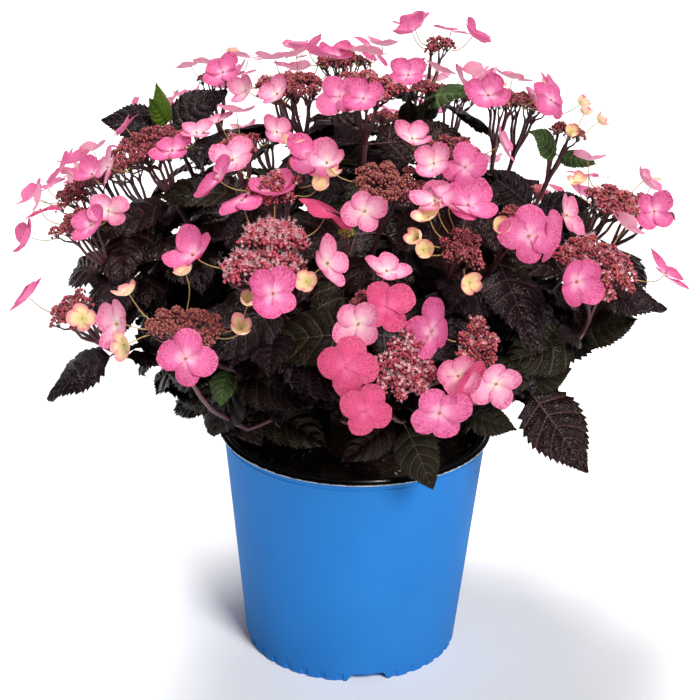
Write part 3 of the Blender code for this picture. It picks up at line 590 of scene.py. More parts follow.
# Each cane: its foot on the stock (a ring, and the step round it), its flowering shoots and its leafy shoots.
# A flowering shoot is: bearing in degrees (0 is +X, -90 the front), reach from the pot's axis, height, tilt
# of the head in degrees, radius of its domed middle, and its florets. A floret is its hour round the head,
# where 0 points away from the pot's axis and hours run anticlockwise from above, with the letter of its age:
# cream, pale, mid, deep. A leafy shoot is: bearing, reach and height of its tip.
CANES = {
    "front": (("outer", -2), (
        (-82, 0.255, 0.370, 58, 0.027, "9d 10.5d 1m 2.3d"),
        (-69, 0.249, 0.382, 42, 0.020, "8.5m 10.5p 0p"),
        (-90, 0.221, 0.409, 35, 0.009, "4.5p 0p 2d"),
    ), ((-72, 0.125, 0.262), (-95, 0.120, 0.262))),
    "front_left": (("outer", -3), (
        (-121, 0.249, 0.382, 25, 0.033, "7c 8.8c 10p 10.8c 4.1c 3.2c 1.2m"),
        (-110, 0.190, 0.441, 10, 0.028, "7.8m 6.7m 4.5d"),
        (-109, 0.220, 0.428, 12, 0.034, "9.3m 1m 3p 2c"),
    ), ((-118, 0.125, 0.262), (-138, 0.150, 0.275))),
    "left_low": (("outer", -4), (
        (-150, 0.260, 0.357, 25, 0.022, "10m 2.9c"),
        (-164, 0.234, 0.405, 25, 0.023, "10.1d 0m 3.4m 4.3p"),
    ), ((-160, 0.155, 0.272),)),
    "left": (("inner", -2), (
        (-178, 0.217, 0.425, 25, 0.018, "9p 10.8m 9.9m 3.3m"),
        (-167, 0.174, 0.461, 20, 0.034, "9.5m 1.4p 3.6m 4.5p"),
        (-144, 0.120, 0.476, 15, 0.019, "8.7p 7.8p 4.3p"),
    ), ((178, 0.140, 0.300),)),
    "front_top": (("inner", -1), (
        (-119, 0.140, 0.460, 15, 0.024, "9.7m 8.5p 5.2m 6.2c 3c 4c"),
        (-94, 0.153, 0.440, 20, 0.006, ""),
        (-82, 0.142, 0.471, 22, 0.028, "11p 8.5p"),
    ), ((-100, 0.110, 0.340),)),
    "front_right": (("outer", -1), (
        (-67, 0.198, 0.437, 38, 0.020, "6.7p 5.3m 6p 7.5c 8.5c 9.2c 11.5c"),
        (-50, 0.190, 0.448, 25, 0.017, "10.8m 0m 2p 9.5c"),
        (-56, 0.125, 0.486, 18, 0.022, "8.5p 11.2m 10p 2.3p"),
    ), ((-50, 0.135, 0.262),)),
    "right_low": (("outer", 0), (
        (-38, 0.231, 0.409, 22, 0.037, "1.4m 9.4m 7.3m 3.5p"),
        (-17, 0.209, 0.433, 20, 0.025, "4.7p 7.5c 2.3p"),
    ), ((-35, 0.165, 0.285), (-12, 0.155, 0.275))),
    "right": (("inner", 0), (
        (10, 0.117, 0.489, 12, 0.019, "4.3p 7.7m 2.3p 11m 0.3m"),
        (5, 0.168, 0.464, 15, 0.016, "2c 1c 8.7c"),
        (10, 0.245, 0.388, 25, 0.026, "8.5m 2.5c"),
    ), ((10, 0.140, 0.270),)),
    "top": (("inner", 2), (
        (-169, 0.056, 0.505, 5, 0.029, "9.3p 8.6p 7.8m 2.2p 1p"),
        (-82, 0.025, 0.511, 5, 0.029, "6.9m 6.2p 5.6p 10.8m 11.6m"),
        (38, 0.064, 0.493, 10, 0.015, "2.5d 6.8m 1p 10.7p"),
    ), ()),
    "back_top": (("inner", 1), (
        (58, 0.117, 0.510, 10, 0.015, "2.5m 5.5m 0.3m 9.5m"),
        (98, 0.135, 0.482, 15, 0.026, "0m 2p 4.5m 7m 10p"),
    ), ()),
    "back_right": (("outer", -8), (
        (36, 0.175, 0.460, 15, 0.024, "1c 5p 8p 10c"),
        (25, 0.235, 0.372, 25, 0.022, "11p 1m 9c 3m"),
        (52, 0.250, 0.345, 30, 0.028, "0d 1.7m 10m 4p"),
        (66, 0.200, 0.440, 20, 0.025, "11m 1.5p 3.5m 8.5c"),
    ), ((35, 0.150, 0.270), (62, 0.140, 0.265))),
    "back": (("outer", -7), (
        (84, 0.240, 0.396, 25, 0.024, "0m 2p 10m 4m"),
        (112, 0.190, 0.449, 18, 0.028, "1m 3p 6p 9m 11m"),
        (112, 0.250, 0.382, 30, 0.022, "0p 1.6d 10.2m"),
    ), ((92, 0.140, 0.265), (116, 0.140, 0.265))),
    "back_left": (("outer", -6), (
        (136, 0.212, 0.430, 20, 0.027, "0m 2m 4p 9m 10.5p"),
        (146, 0.255, 0.378, 30, 0.024, "0.5m 2.3p 9.8m"),
    ), ((142, 0.150, 0.270),)),
    "back_left_top": (("outer", -5), (
        (146, 0.152, 0.481, 12, 0.017, "10.5p 11.3p 9c 8p 4.8m"),
        (170, 0.240, 0.393, 25, 0.025, "0m 2p 9.6m 11m"),
    ), ((163, 0.170, 0.448), (168, 0.150, 0.275))),
}

# How far the middle of a shoot bows away from its even bend.
SHOOT_BOWS = {("right_low", 0): (0.021, -0.004, -0.014)}


def place(bearing, reach, height):
    return around(math.radians(bearing), reach, height)


def outward(point):
    """The level direction away from the pot's axis."""
    return Vector((point.x, point.y, 0)).normalized()


def arc(start, start_way, end, end_way, steps):
    """Points along a smooth bend that leaves start along start_way and reaches end along end_way."""
    pull = (end - start).length * 0.4
    first = start + start_way * pull
    last = end - end_way * pull
    return [
        start * (1 - t) ** 3 + first * 3 * t * (1 - t) ** 2 + last * 3 * t * t * (1 - t) + end * t**3
        for t in (step / steps for step in range(steps + 1))
    ]


def along_path(points, share):
    """The point at this share of a path's points, and the path's direction there."""
    spot = min(share * (len(points) - 1), len(points) - 1.001)
    before, after = points[int(spot)], points[int(spot) + 1]
    return before.lerp(after, spot % 1), (after - before).normalized()


class Cane:
    """One bough and the shoots that fork from its tip, worked out from the cane's row."""

    def __init__(self, name, row):
        (ring, step), flowering, leafy = row
        self.name = name
        radius, spacing = FOOT_RINGS[ring]
        foot = place(step * spacing, radius, STOCK_TOP - FOOT_SUNK)
        middle = sum((place(*shoot[:3]) for shoot in flowering), Vector()) / len(flowering)
        self.fork = foot.lerp(middle, FORK_SHARE)
        self.fork.z -= FORK_SAG * Vector((middle.x, middle.y)).length
        rise = Vector((0, 0, 1))
        self.fork_way = ((self.fork - foot).normalized() + rise * 0.25).normalized()
        self.bough = arc(foot, rise, self.fork, self.fork_way, BOUGH_STEPS)
        self.crotch = self.fork + self.fork_way * MASS_STEM
        self.heads = []
        self.shoots = []
        for bearing, reach, height, tilt, dome, florets in flowering:
            self.add_shoot(place(bearing, reach, height), tilt, dome, florets)
        for tip in leafy:
            self.add_shoot(place(*tip), LEAFY_TILT, None, "")

    def add_shoot(self, tip, tilt, dome, florets):
        tilt = math.radians(tilt)
        axis = outward(tip) * math.sin(tilt) + Vector((0, 0, math.cos(tilt)))
        out = (tip - self.crotch).normalized()
        start_way = (out + self.fork_way * 0.5 + outward(tip) * 0.25).normalized()
        path = arc(self.crotch - self.fork_way * SHOOT_SUNK, start_way, tip, axis, SHOOT_STEPS)
        bow = Vector(SHOOT_BOWS.get((self.name, len(self.shoots)), (0, 0, 0)))
        path = [point + bow * math.sin(math.pi * step / SHOOT_STEPS) for step, point in enumerate(path)]
        self.shoots.append(path)
        self.heads.append((tip, axis, dome, florets))


def limb_growth():
    """Tapering limbs along curves, their skin raised and sunk a little along its normal."""
    inputs = (("Sides", "Int"), ("Ridge Height", "Float"), ("Ridges per Metre", "Float"))
    tree = Growth("limbs_along_curves", *inputs)
    given = tree.given
    sides = {"Resolution": given["Sides"], "Radius": 1}
    section = tree.node("GeometryNodeCurvePrimitiveCircle", sides)["Curve"]
    skin = tree.node("GeometryNodeCurveToMesh", {
        "Curve": given["Geometry"],
        "Profile Curve": section,
        "Scale": tree.node("GeometryNodeInputRadius")["Radius"],
        "Fill Caps": True,
    })["Mesh"]
    ridges = tree.node("ShaderNodeTexNoise", {"Scale": given["Ridges per Metre"], "Detail": 3})["Fac"]
    raised = maths(tree.tree, "MULTIPLY", maths(tree.tree, "SUBTRACT", ridges, 0.5), given["Ridge Height"])
    facing = tree.node("GeometryNodeInputNormal")["Normal"]
    offset = tree.node("ShaderNodeVectorMath", {0: facing, "Scale": raised}, operation="SCALE")["Vector"]
    moved = tree.node("GeometryNodeSetPosition", {"Geometry": skin, "Offset": offset})["Geometry"]
    smooth = tree.node("GeometryNodeSetShadeSmooth", {"Geometry": moved})["Geometry"]
    return tree.close(smooth, ["Skin"])


LIMBS = limb_growth()


def limbs(name, paths, sides, ridge, ridges_per_metre, material, nodes):
    """Joins many limbs, each a list of points with a radius for each, into one piece."""
    curve = bpy.data.curves.new(name, "CURVE")
    curve.dimensions = "3D"
    for points, radii in paths:
        spline = curve.splines.new("POLY")
        spline.points.add(len(points) - 1)
        for spot, point, radius in zip(spline.points, points, radii):
            spot.co = (*point, 1)
            spot.radius = radius
    values = {"Sides": sides, "Ridge Height": ridge, "Ridges per Metre": ridges_per_metre, "Skin": material}
    as_piece(grow(LIMBS, curve, values), name, nodes)


def tapered(count, start, end):
    return [start + (end - start) * step / (count - 1) for step in range(count)]


canes = [Cane(name, row) for name, row in CANES.items()]
bough_nodes = [f"bough_{cane.name}" for cane in canes]
foliage_nodes = [f"foliage_{cane.name}" for cane in canes]
cane_bark = finish("cane_bark", (74, 46, 42), (104, 74, 58), 140, 0.6, 900, 0.0005)
boughs = [(cane.bough, tapered(len(cane.bough), *BOUGH_RADII)) for cane in canes]
limbs("canes", boughs, BOUGH_SIDES, BOUGH_RIDGE, BOUGH_RIDGES, cane_bark, bough_nodes)

# The shoots
# This year's growth: straight, smooth, dark maroon stems, swollen a little at each pair of leaves, that run
# from the cane's fork to the flower heads. Their skin is firm and slightly glossy.
SHOOT_RADII, SHOOT_SIDES, SHOOT_RIDGE, SHOOT_RIDGES = (0.0024, 0.0016), 9, 0.0002, 500
JOINT_SWELL, JOINT_SHARE = 0.35, 0.018
PAIRS_ON_SHOOT = 5
LEAFY_TIP_PAIR = 0.97
NODE_BELOW_DOME = 0.040
# A bare twig that grows on from a low shoot at the front left and turns up at a node, to the head above it.
TWIG_NODES = ((-118, 0.125, 0.262), (-124, 0.155, 0.256), (-121, 0.213, 0.297), (-122, 0.242, 0.350))
TWIG_RADII = (0.0021, 0.0016)


def shoot_end(path, dome):
    """The share of a shoot's path at which its head's rays part, or 1 on a leafy shoot."""
    if not dome:
        return 1
    length = sum((after - before).length for before, after in zip(path, path[1:]))
    return 1 - (NODE_BELOW_DOME + dome * 0.3) / length


def pair_places(path, dome):
    """The shares of a shoot's path at which its leaf pairs stand, the last just under the rays."""
    last = shoot_end(path, dome) if dome else LEAFY_TIP_PAIR
    return [last * (number + 1) / PAIRS_ON_SHOOT for number in range(PAIRS_ON_SHOOT)]


def shoot_limb(cane, path, dome):
    end = shoot_end(path, dome)
    shares = [step / SHOOT_STEPS * end for step in range(SHOOT_STEPS + 1)]
    points = [cane.fork - cane.fork_way * SHOOT_SUNK] + [along_path(path, share)[0] for share in shares[1:]]
    radii = []
    for share in shares:
        joint = max(math.exp(-(((share - pair) / JOINT_SHARE) ** 2)) for pair in pair_places(path, dome))
        plain = SHOOT_RADII[0] + (SHOOT_RADII[1] - SHOOT_RADII[0]) * share
        radii.append(plain * (1 + JOINT_SWELL * joint))
    return points, radii


maroon_stem = finish("stem_dark_maroon", (66, 34, 40), (92, 46, 52), 60, 0.38, 1200, 0.00015)
low, node, turn, top = (place(*spot) for spot in TWIG_NODES)
twig = arc(low, outward(low), node, turn - node, 4)
twig += arc(node, turn - node, turn, turn - node, 4)[1:]
twig += arc(turn, top - turn, top, Vector((0, 0, 1)), 6)[1:]
stems = [shoot_limb(cane, path, head[2]) for cane in canes for path, head in zip(cane.shoots, cane.heads)]
stems.append((twig, tapered(len(twig), *TWIG_RADII)))
limbs("shoots", stems, SHOOT_SIDES, SHOOT_RIDGE, SHOOT_RIDGES, maroon_stem, foliage_nodes)

# The flower heads' middles
# Each lacecap is a low dome of tight fertile buds, a couple of millimetres wide, crowded in clusters on
# forked maroon rays. Some are open: tiny pale stars with a brush of stamens.
CLUSTER_SPACING, CLUSTER_RADIUS, CLUSTERS_PER_SPACING = 0.0108, 0.0058, 3.1
STALK_HEIGHT, STALK_RADIUS, BUDS_PER_STALK = 0.010, 0.00045, 3
BUD_SIZE, BUDS_IN_CLUSTER = 0.0025, 29
GOLDEN_TURN = 2.39996
RAY_RADII, RAY_SIDES = (0.0018, 0.0012, 0.0006), 5
RAY_FORK_SHARE, RAY_BELOW_CLUSTER = 0.70, 0.009
FRONT_HEADS, SIDE_HEADS = -0.08, 0.07
STAR_TONE, STALK_TONE = 4, 5
# The stages of a head's buds: the shares of maroon, rose, tan and green ones, and the share that has opened.
BUD_STAGES = {
    "closed": ((0.62, 0.24, 0.14, 0), 0),
    "blushing": ((0.35, 0.50, 0.15, 0), 0.05),
    "opening": ((0.22, 0.76, 0.02, 0), 0.22),
    "tan": ((0.46, 0.02, 0.52, 0), 0),
    "green": ((0, 0, 0.15, 0.85), 0),
}
SHAPES_PER_STAGE = 4
# The heads of each stage, by cane and number; the rest are closed.
HEAD_STAGES = {
    "blushing": "front 1, left 2, front_top 0, right_low 0, right_low 1, top 1",
    "opening": "front 0, front_left 1, front_left 2, back 1, back_right 2",
    "tan": "front_left 0, front_top 2, right 0, right 1, back_left 1",
    "green": "front_top 1",
}
# The canes whose heads' domes lie level inside their tilted rings of florets.
LEVEL_DOMES = ("front_left",)


def frame_matrix(origin, x_way, z_way):
    """A placing matrix with its X along x_way and its Z as near z_way as can be."""
    x = x_way.normalized()
    z = (z_way - x * z_way.dot(x)).normalized()
    return Matrix.Translation(origin) @ Matrix((x, z.cross(x), z)).transposed().to_4x4()


def round_the_head(tip, axis, hour):
    """The direction, square to the head's axis, of this hour round it."""
    lowest = (outward(tip) - axis * outward(tip).dot(axis)).normalized()
    return Matrix.Rotation(math.radians(30 * hour), 3, axis) @ lowest


def add_values(mesh, name, kind, domain, values):
    """Stores a value for each point or face of a mesh, for a tree or a material to read."""
    key = "vector" if kind == "FLOAT_VECTOR" else "value"
    mesh.attributes.new(name, kind, domain).data.foreach_set(key, np.array(values).ravel())


def toned_mesh(name, parts):
    """Several small shapes as one smooth mesh, whose faces carry the number of their material."""
    points, faces, tones = [], [], []
    for part_points, part_faces, tone in parts:
        start = len(points)
        points += [tuple(point) for point in part_points]
        faces += [tuple(corner + start for corner in face) for face in part_faces]
        tones += [tone] * len(part_faces)
    mesh = bpy.data.meshes.new(name)
    mesh.from_pydata(points, [], faces)
    add_values(mesh, "tone", "INT", "FACE", tones)
    mesh.shade_smooth()
    return mesh


def ball(middle, size, tall, facing):
    """A small closed bud of twenty faces, drawn out along its facing."""
    shape = bmesh.new()
    bmesh.ops.create_icosphere(shape, subdivisions=1, radius=size / 2)
    turn = frame_matrix(Vector(), facing.orthogonal(), facing).to_3x3()
    points = [middle + turn @ Vector((v.co.x, v.co.y, v.co.z * tall)) for v in shape.verts]
    faces = [[vert.index for vert in face.verts] for face in shape.faces]
    shape.free()
    return points, faces


def triangle(middle, way, radius):
    """Three points round a middle, square to this way."""
    side = way.orthogonal().normalized()
    across = way.cross(side)
    angles = (math.tau * corner / 3 for corner in range(3))
    return [middle + (side * math.cos(angle) + across * math.sin(angle)) * radius for angle in angles]


def spike(start, end, radius):
    """A three-sided stalk that narrows to its end."""
    way = (end - start).normalized()
    points = triangle(start, way, radius) + triangle(end, way, radius * 0.6)
    return points, [(0, 1, 4, 3), (1, 2, 5, 4), (2, 0, 3, 5), (3, 4, 5), (2, 1, 0)]


def star(middle, size, facing, turn):
    """A tiny open flower: five pale petals and four stamens."""
    matrix = frame_matrix(middle, facing.orthogonal(), facing) @ Matrix.Rotation(turn, 4, "Z")
    points = [matrix @ Vector((0, 0, 0))]
    for corner in range(10):
        angle = math.tau * corner / 10
        reach, rise = (size * 0.5, size * 0.12) if corner % 2 else (size * 0.16, size * 0.02)
        points.append(matrix @ around(angle, reach, rise))
    parts = [(points, [(0, corner, corner % 10 + 1) for corner in range(1, 11)], STAR_TONE)]
    for corner in range(4):
        angle = math.tau * (corner + 0.3) / 4
        end = matrix @ around(angle, size * 0.35, size * 0.85)
        parts.append((*spike(points[0], end, size * 0.04), STAR_TONE))
    return parts


def cluster_mesh(name, stage, seed):
    """A knob of buds over a fan of short stalks that start from one point."""
    shares, opened = BUD_STAGES[stage]
    chance = random.Random(f"{stage} {seed}")
    parts = []
    foot = Vector((0, 0, -STALK_HEIGHT))
    for number in range(BUDS_IN_CLUSTER):
        reach = CLUSTER_RADIUS * math.sqrt((number + 0.5) / BUDS_IN_CLUSTER) * chance.uniform(0.9, 1.08)
        angle = number * GOLDEN_TURN + chance.uniform(-0.25, 0.25)
        rise = -0.0052 * (reach / CLUSTER_RADIUS) ** 2 + chance.uniform(-0.0008, 0.0008)
        spot = around(angle, reach, rise)
        facing = (spot - foot).normalized()
        if chance.random() < opened:
            parts += star(spot + facing * 0.0012, BUD_SIZE * 1.35, facing, chance.uniform(0, 1))
        size = BUD_SIZE * chance.uniform(0.78, 1.12)
        tone = chance.choices(range(4), shares)[0]
        parts.append((*ball(spot, size, chance.uniform(1.0, 1.3), facing), tone))
        if number % BUDS_PER_STALK == 0:
            parts.append((*spike(foot, spot - facing * size * 0.4, STALK_RADIUS), STALK_TONE))
    return toned_mesh(name, parts)


def dealt_growth(name, material_names):
    """Shapes dealt out to points by each point's own kind, turn and size."""
    tree = Growth(name, ("Shapes", "Collection"))
    euler = tree.attribute("turn", "FLOAT_VECTOR")
    turn = tree.node("FunctionNodeEulerToRotation", {"Euler": euler})["Rotation"]
    kind, size = tree.attribute("kind", "INT"), tree.attribute("size", "FLOAT")
    return tree.close(tree.dealt(tree.given["Geometry"], "Shapes", kind, turn, size), material_names)


def deal(growth, shapes, spots, materials):
    """Runs a dealing tree on a list of (matrix, size, kind)."""
    mesh = bpy.data.meshes.new("spots")
    mesh.from_pydata([matrix.translation[:] for matrix, _, _ in spots], [], [])
    add_values(mesh, "turn", "FLOAT_VECTOR", "POINT", [matrix.to_euler("XYZ")[:] for matrix, _, _ in spots])
    add_values(mesh, "size", "FLOAT", "POINT", [size for _, size, _ in spots])
    add_values(mesh, "kind", "INT", "POINT", [kind for _, _, kind in spots])
    return grow(growth, mesh, {"Shapes": shapes, **materials})


def dome_axis(cane, number):
    """The way a head's dome faces."""
    return Vector((0, 0, 1)) if cane.name in LEVEL_DOMES else cane.heads[number][1]


def head_clusters(cane, number):
    """Where a head's clusters sit, and the rays that carry them: (matrix, size), (points, radii)."""
    tip, _, dome, _ = cane.heads[number]
    axis = dome_axis(cane, number)
    path = cane.shoots[number]
    chance = random.Random(f"{cane.name} dome {number}")
    node = along_path(path, shoot_end(path, dome))[0]
    lobes = (chance.uniform(0, math.tau), chance.uniform(0, math.tau))
    count = max(1, round((dome / CLUSTER_SPACING) ** 2 * CLUSTERS_PER_SPACING))
    clusters = []
    for spiral in range(count):
        reach = max(0, dome - CLUSTER_RADIUS * 0.7) * math.sqrt((spiral + 0.4) / count)
        hour = spiral * GOLDEN_TURN * 6 / math.pi + chance.uniform(-0.3, 0.3)
        angle = hour * math.pi / 6
        reach *= 1 + 0.09 * math.sin(2 * angle + lobes[0]) + 0.06 * math.sin(3 * angle + lobes[1])
        way = round_the_head(tip, axis, hour)
        rise = dome * 0.26 * (1 - (reach / dome) ** 2) + chance.uniform(-0.0032, 0.0026)
        spot = tip + way * reach + axis * rise
        facing = (axis + way * reach / dome * 0.6).normalized()
        clusters.append((frame_matrix(spot, way, facing), chance.uniform(0.85, 1.12)))
    ends = [matrix.translation - matrix.col[2].to_3d() * RAY_BELOW_CLUSTER for matrix, _ in clusters]
    rays = []
    branches = 5 if count > 5 else 3
    for own in (ends[branch::branches] for branch in range(min(branches, count))):
        split = node.lerp(sum(own, Vector()) / len(own), RAY_FORK_SHARE)
        start_way = (split - node + axis * 0.02).normalized()
        rays.append((arc(node, start_way, split, axis, 4), tapered(5, *RAY_RADII[:2])))
        rays += [(arc(split, axis, end, axis, 3), tapered(4, *RAY_RADII[1:])) for end in own]
    return clusters, rays


bud_finishes = {
    f"Bud {tone}": finish(f"bud_{tone}", colour, patch, 700, roughness)
    for tone, colour, patch, roughness in (
        ("maroon", (98, 28, 38), (128, 46, 52), 0.55),
        ("rose", (164, 54, 72), (188, 88, 98), 0.55),
        ("tan", (134, 72, 58), (160, 84, 74), 0.5),
        ("green", (150, 158, 48), (176, 172, 70), 0.5),
    )
}
bud_finishes["Star"] = finish("star_pale", (222, 168, 178), (236, 206, 202), 300, 0.6)
bud_finishes["Stalk"] = maroon_stem
DEALT_BUDS = dealt_growth("dealt_bud_clusters", list(bud_finishes))
stage_names = list(BUD_STAGES)
head_stages = {head: stage for stage, heads in HEAD_STAGES.items() for head in heads.split(", ")}
cluster_shapes = template_collection("clusters", [
    cluster_mesh(f"{stage}_{seed}", stage, seed) for stage in stage_names for seed in range(SHAPES_PER_STAGE)
])
bud_spots = {"front": [], "side": [], "back": []}
ray_limbs = []
for cane in canes:
    for number, (tip, _, dome, _) in enumerate(cane.heads):
        if not dome:
            continue
        side = "front" if tip.y < FRONT_HEADS else "side" if tip.y < SIDE_HEADS else "back"
        clusters, rays = head_clusters(cane, number)
        chance = random.Random(f"{cane.name} buds {number}")
        stage = stage_names.index(head_stages.get(f"{cane.name} {number}", "closed"))
        for matrix, size in clusters:
            kind = stage * SHAPES_PER_STAGE + chance.randrange(SHAPES_PER_STAGE)
            bud_spots[side].append((matrix, size, kind))
        ray_limbs += rays
for side, spots in bud_spots.items():
    mesh = deal(DEALT_BUDS, cluster_shapes, spots, bud_finishes)
    as_piece(mesh, f"fertile_buds_{side}", foliage_nodes)
discard(cluster_shapes)
limbs("flower_rays", ray_limbs, RAY_SIDES, 0, 100, maroon_stem, foliage_nodes)

# The petalled florets
# Round each dome stand a few sterile florets on thin greenish stalks: four broad, overlapping sepals, thin
# and matt, palest at the heart. They open cream and cupped, and deepen to strong pink as they flatten.
FLORET_SIZES = {"c": 0.027, "p": 0.041, "m": 0.046, "d": 0.046}
FLORET_KINDS = 6
FLORET_NOD, FLORET_LOOKS_UP = 0.32, 2.8
PEDICEL_BEYOND_DOME, PEDICEL_RADII, PEDICEL_SIDES = 0.016, (0.00052, 0.00042), 5
SEPAL_HALF_ANGLE, SEPAL_LIFT = 60, 0.024
SEPAL_COLUMNS = 10
SEPAL_ROWS = (0.05, 0.18, 0.32, 0.46, 0.60, 0.73, 0.84, 0.93, 1)
EYE_SIZE, EYE_HEIGHT = 0.058, 0.026
# How strongly a sepal gives off a painted glow in place of light shining through it, how much of that glow
# the upper side shows, how far the underside's glow takes the glow colour, and how much the underside is
# flushed.
SEPAL_PAINTED_GLOW, SEPAL_FACE_PAINTED_GLOW, PAINTED_GLOW_TINT_SHARE = 0.52, 0.30, 0.6
UNDERSIDE_SHARE = 0.45
INNER_FLORET_SHARE, FRONT_ROW = 0.84, -0.12
TINT_NAMES = {"d": "deep", "m": "mid", "p": "pale", "c": "cream"}
# The colours of a sepal at each age: heart, middle, rim, the flush of its patches and underside, and the
# colour of the painted glow that stands in for light coming through it.
SEPAL_TINTS = {
    "d": ((206, 84, 130), (176, 20, 86), (152, 4, 62), (214, 96, 140), (236, 62, 128)),
    "m": ((228, 172, 190), (192, 66, 128), (168, 12, 90), (216, 132, 170), (246, 118, 170)),
    "p": ((230, 206, 194), (212, 132, 164), (182, 38, 108), (224, 176, 190), (250, 166, 190)),
    "c": ((202, 202, 112), (234, 208, 158), (214, 112, 134), (230, 190, 160), (248, 220, 168)),
}
EYES = {"d": (200, 70, 104), "m": (186, 104, 88), "p": (176, 122, 76), "c": (190, 162, 80)}
# How strongly each kind of floret is cupped, or bent back where it is less than nothing.
BOWLS = {
    "d": (0.5, 0.9, -0.5, 1.2, 0.25, -0.9),
    "m": (0.6, 1.0, -0.6, 1.4, 0.3, 1.8),
    "p": (0.9, 1.5, 0.4, 2.0, 1.2, 2.4),
    "c": (2.6, 3.2, 2.2, 3.6, 2.9, 3.8),
}


def sepal(chance, bowl, lift):
    """Points of one sepal of a floret of unit width, its claw at the middle, with each one's place on it."""
    middle = chance.uniform(0.235, 0.265)
    round_off = middle * chance.uniform(0.89, 1.08)
    half_angle = min(math.radians(SEPAL_HALF_ANGLE), math.asin(min(1, round_off / middle)) * 0.97)
    ruffle = chance.uniform(0, math.tau)
    tilt = chance.uniform(-0.16, 0.16)
    cross = chance.uniform(-0.5, 0.6)
    points, places = [], []
    for row in SEPAL_ROWS:
        for column in range(SEPAL_COLUMNS + 1):
            u = column / SEPAL_COLUMNS * 2 - 1
            angle = half_angle * u
            rim = middle * math.cos(angle) + math.sqrt(round_off**2 - (middle * math.sin(angle)) ** 2)
            rim *= 1 + 0.014 * math.sin(9 * u + ruffle) + 0.010 * math.sin(17 * u + 2 * ruffle)
            radius = rim * row
            curl = bowl * radius
            level = math.sin(curl) / bowl
            across = level * math.sin(angle)
            rise = (1 - math.cos(curl)) / bowl + cross * across * across + tilt * radius
            rise += lift * min(1, row * 2.5) - 0.010 * row * math.exp(-((across / 0.03) ** 2))
            rise += 0.016 * row * row * math.sin(5 * u + ruffle)
            points.append(Vector((level * math.cos(angle), across, rise)))
            places.append((row, u, ruffle))
    return points, places


def placed_mesh(name, parts, value, places):
    """Several toned shapes as one mesh, whose first points carry their places on a sepal or a blade."""
    mesh = toned_mesh(name, parts)
    rest = [(0, 0, 0)] * (len(mesh.vertices) - len(places))
    add_values(mesh, value, "FLOAT_VECTOR", "POINT", places + rest)
    return mesh


def grid_faces(rows, wide):
    """The faces of a sheet of points, so many wide."""
    corners = (row * wide + column for row in range(rows - 1) for column in range(wide - 1))
    return [(corner, corner + wide, corner + wide + 1, corner + 1) for corner in corners]


def floret_mesh(name, seed, bowl):
    """Four sepals, one pair over the other, and the eye between them."""
    chance = random.Random(seed)
    faces = grid_faces(len(SEPAL_ROWS), SEPAL_COLUMNS + 1)
    parts, places = [], []
    for number in range(4):
        turn = Matrix.Rotation(math.radians(90 * number + chance.uniform(-9, 9)), 3, "Z")
        points, own_places = sepal(chance, bowl, SEPAL_LIFT if number % 2 else 0)
        scale = chance.uniform(0.9, 1.06)
        parts.append(([turn @ point * scale for point in points], faces, 0))
        places += own_places
    parts.append((*ball(Vector((0, 0, EYE_HEIGHT)), EYE_SIZE, 0.8, Vector((0, 0, 1))), 1))
    return placed_mesh(name, parts, "sepal_place", places)


def sepal_finish(name, heart, middle, rim, flush, through):
    """Thin, veined petal skin, heart to rim, paler underneath, with a painted glow for light coming through.
    """
    made = finish(name, middle, flush, 5, 0.5, 9, 0.0005, share=0.5)
    tree, shader, grain = parts_of(made)
    own = grain.outputs["Colour"]
    place = add_node(tree, "ShaderNodeAttribute", attribute_name="sepal_place")["Vector"]
    streaks = add_node(tree, "ShaderNodeMapping", {"Vector": place, "Scale": (2.4, 5, 7)})["Vector"]
    along = add_node(tree, "ShaderNodeSeparateXYZ", {"Vector": place})["X"]
    drift = add_node(tree, "ShaderNodeTexNoise", {"Vector": streaks, "Scale": 2})["Fac"]
    reach = maths(tree, "SUBTRACT", maths(tree, "MULTIPLY_ADD", drift, 0.34, along), 0.16)
    ramp = tree.nodes.new("ShaderNodeValToRGB")
    ramp.color_ramp.interpolation = "EASE"
    for stop, position, colour in zip(ramp.color_ramp.elements, (0.10, 0.92), (heart, rim)):
        stop.position = position
        stop.color = srgb(*colour)
    ramp.color_ramp.elements.new(0.52).color = srgb(*middle)
    wire(tree, ramp, {"Fac": reach})
    wire(tree, grain, {"Place": streaks, "Colour": ramp.outputs["Color"]})
    # Painted glow: both sides give off light in place of light shining through the sepal, the underside more.
    behind = add_node(tree, "ShaderNodeNewGeometry")["Backfacing"]
    face_painted_glow = mixed(tree, SEPAL_FACE_PAINTED_GLOW, (0, 0, 0, 1), own)
    wire(tree, shader, {
        "Base Color": mixed(tree, maths(tree, "MULTIPLY", behind, UNDERSIDE_SHARE), own, srgb(*flush)),
        "Emission Color": mixed(tree, behind, face_painted_glow, mixed(tree, PAINTED_GLOW_TINT_SHARE, own, srgb(*through))),
        "Emission Strength": SEPAL_PAINTED_GLOW,
    })
    return made


def florets_of(head, seed):
    """Centre, face direction, size and age of each petalled floret round a head."""
    tip, axis, dome, florets = head
    chance = random.Random(seed)
    made = []
    for word in florets.split():
        way = round_the_head(tip, axis, float(word[:-1]))
        size = FLORET_SIZES[word[-1]] * chance.uniform(0.92, 1.08)
        size *= 1 if tip.y < FRONT_ROW else INNER_FLORET_SHARE
        reach = dome + PEDICEL_BEYOND_DOME * chance.uniform(0.85, 1.25)
        lift = 0.006 + 0.006 * chance.random()
        face = (axis + way * chance.uniform(0.5, 1.1) + outward(tip) * 0.35).normalized()
        made.append((tip + way * reach + axis * lift, face, size, word[-1]))
    return made


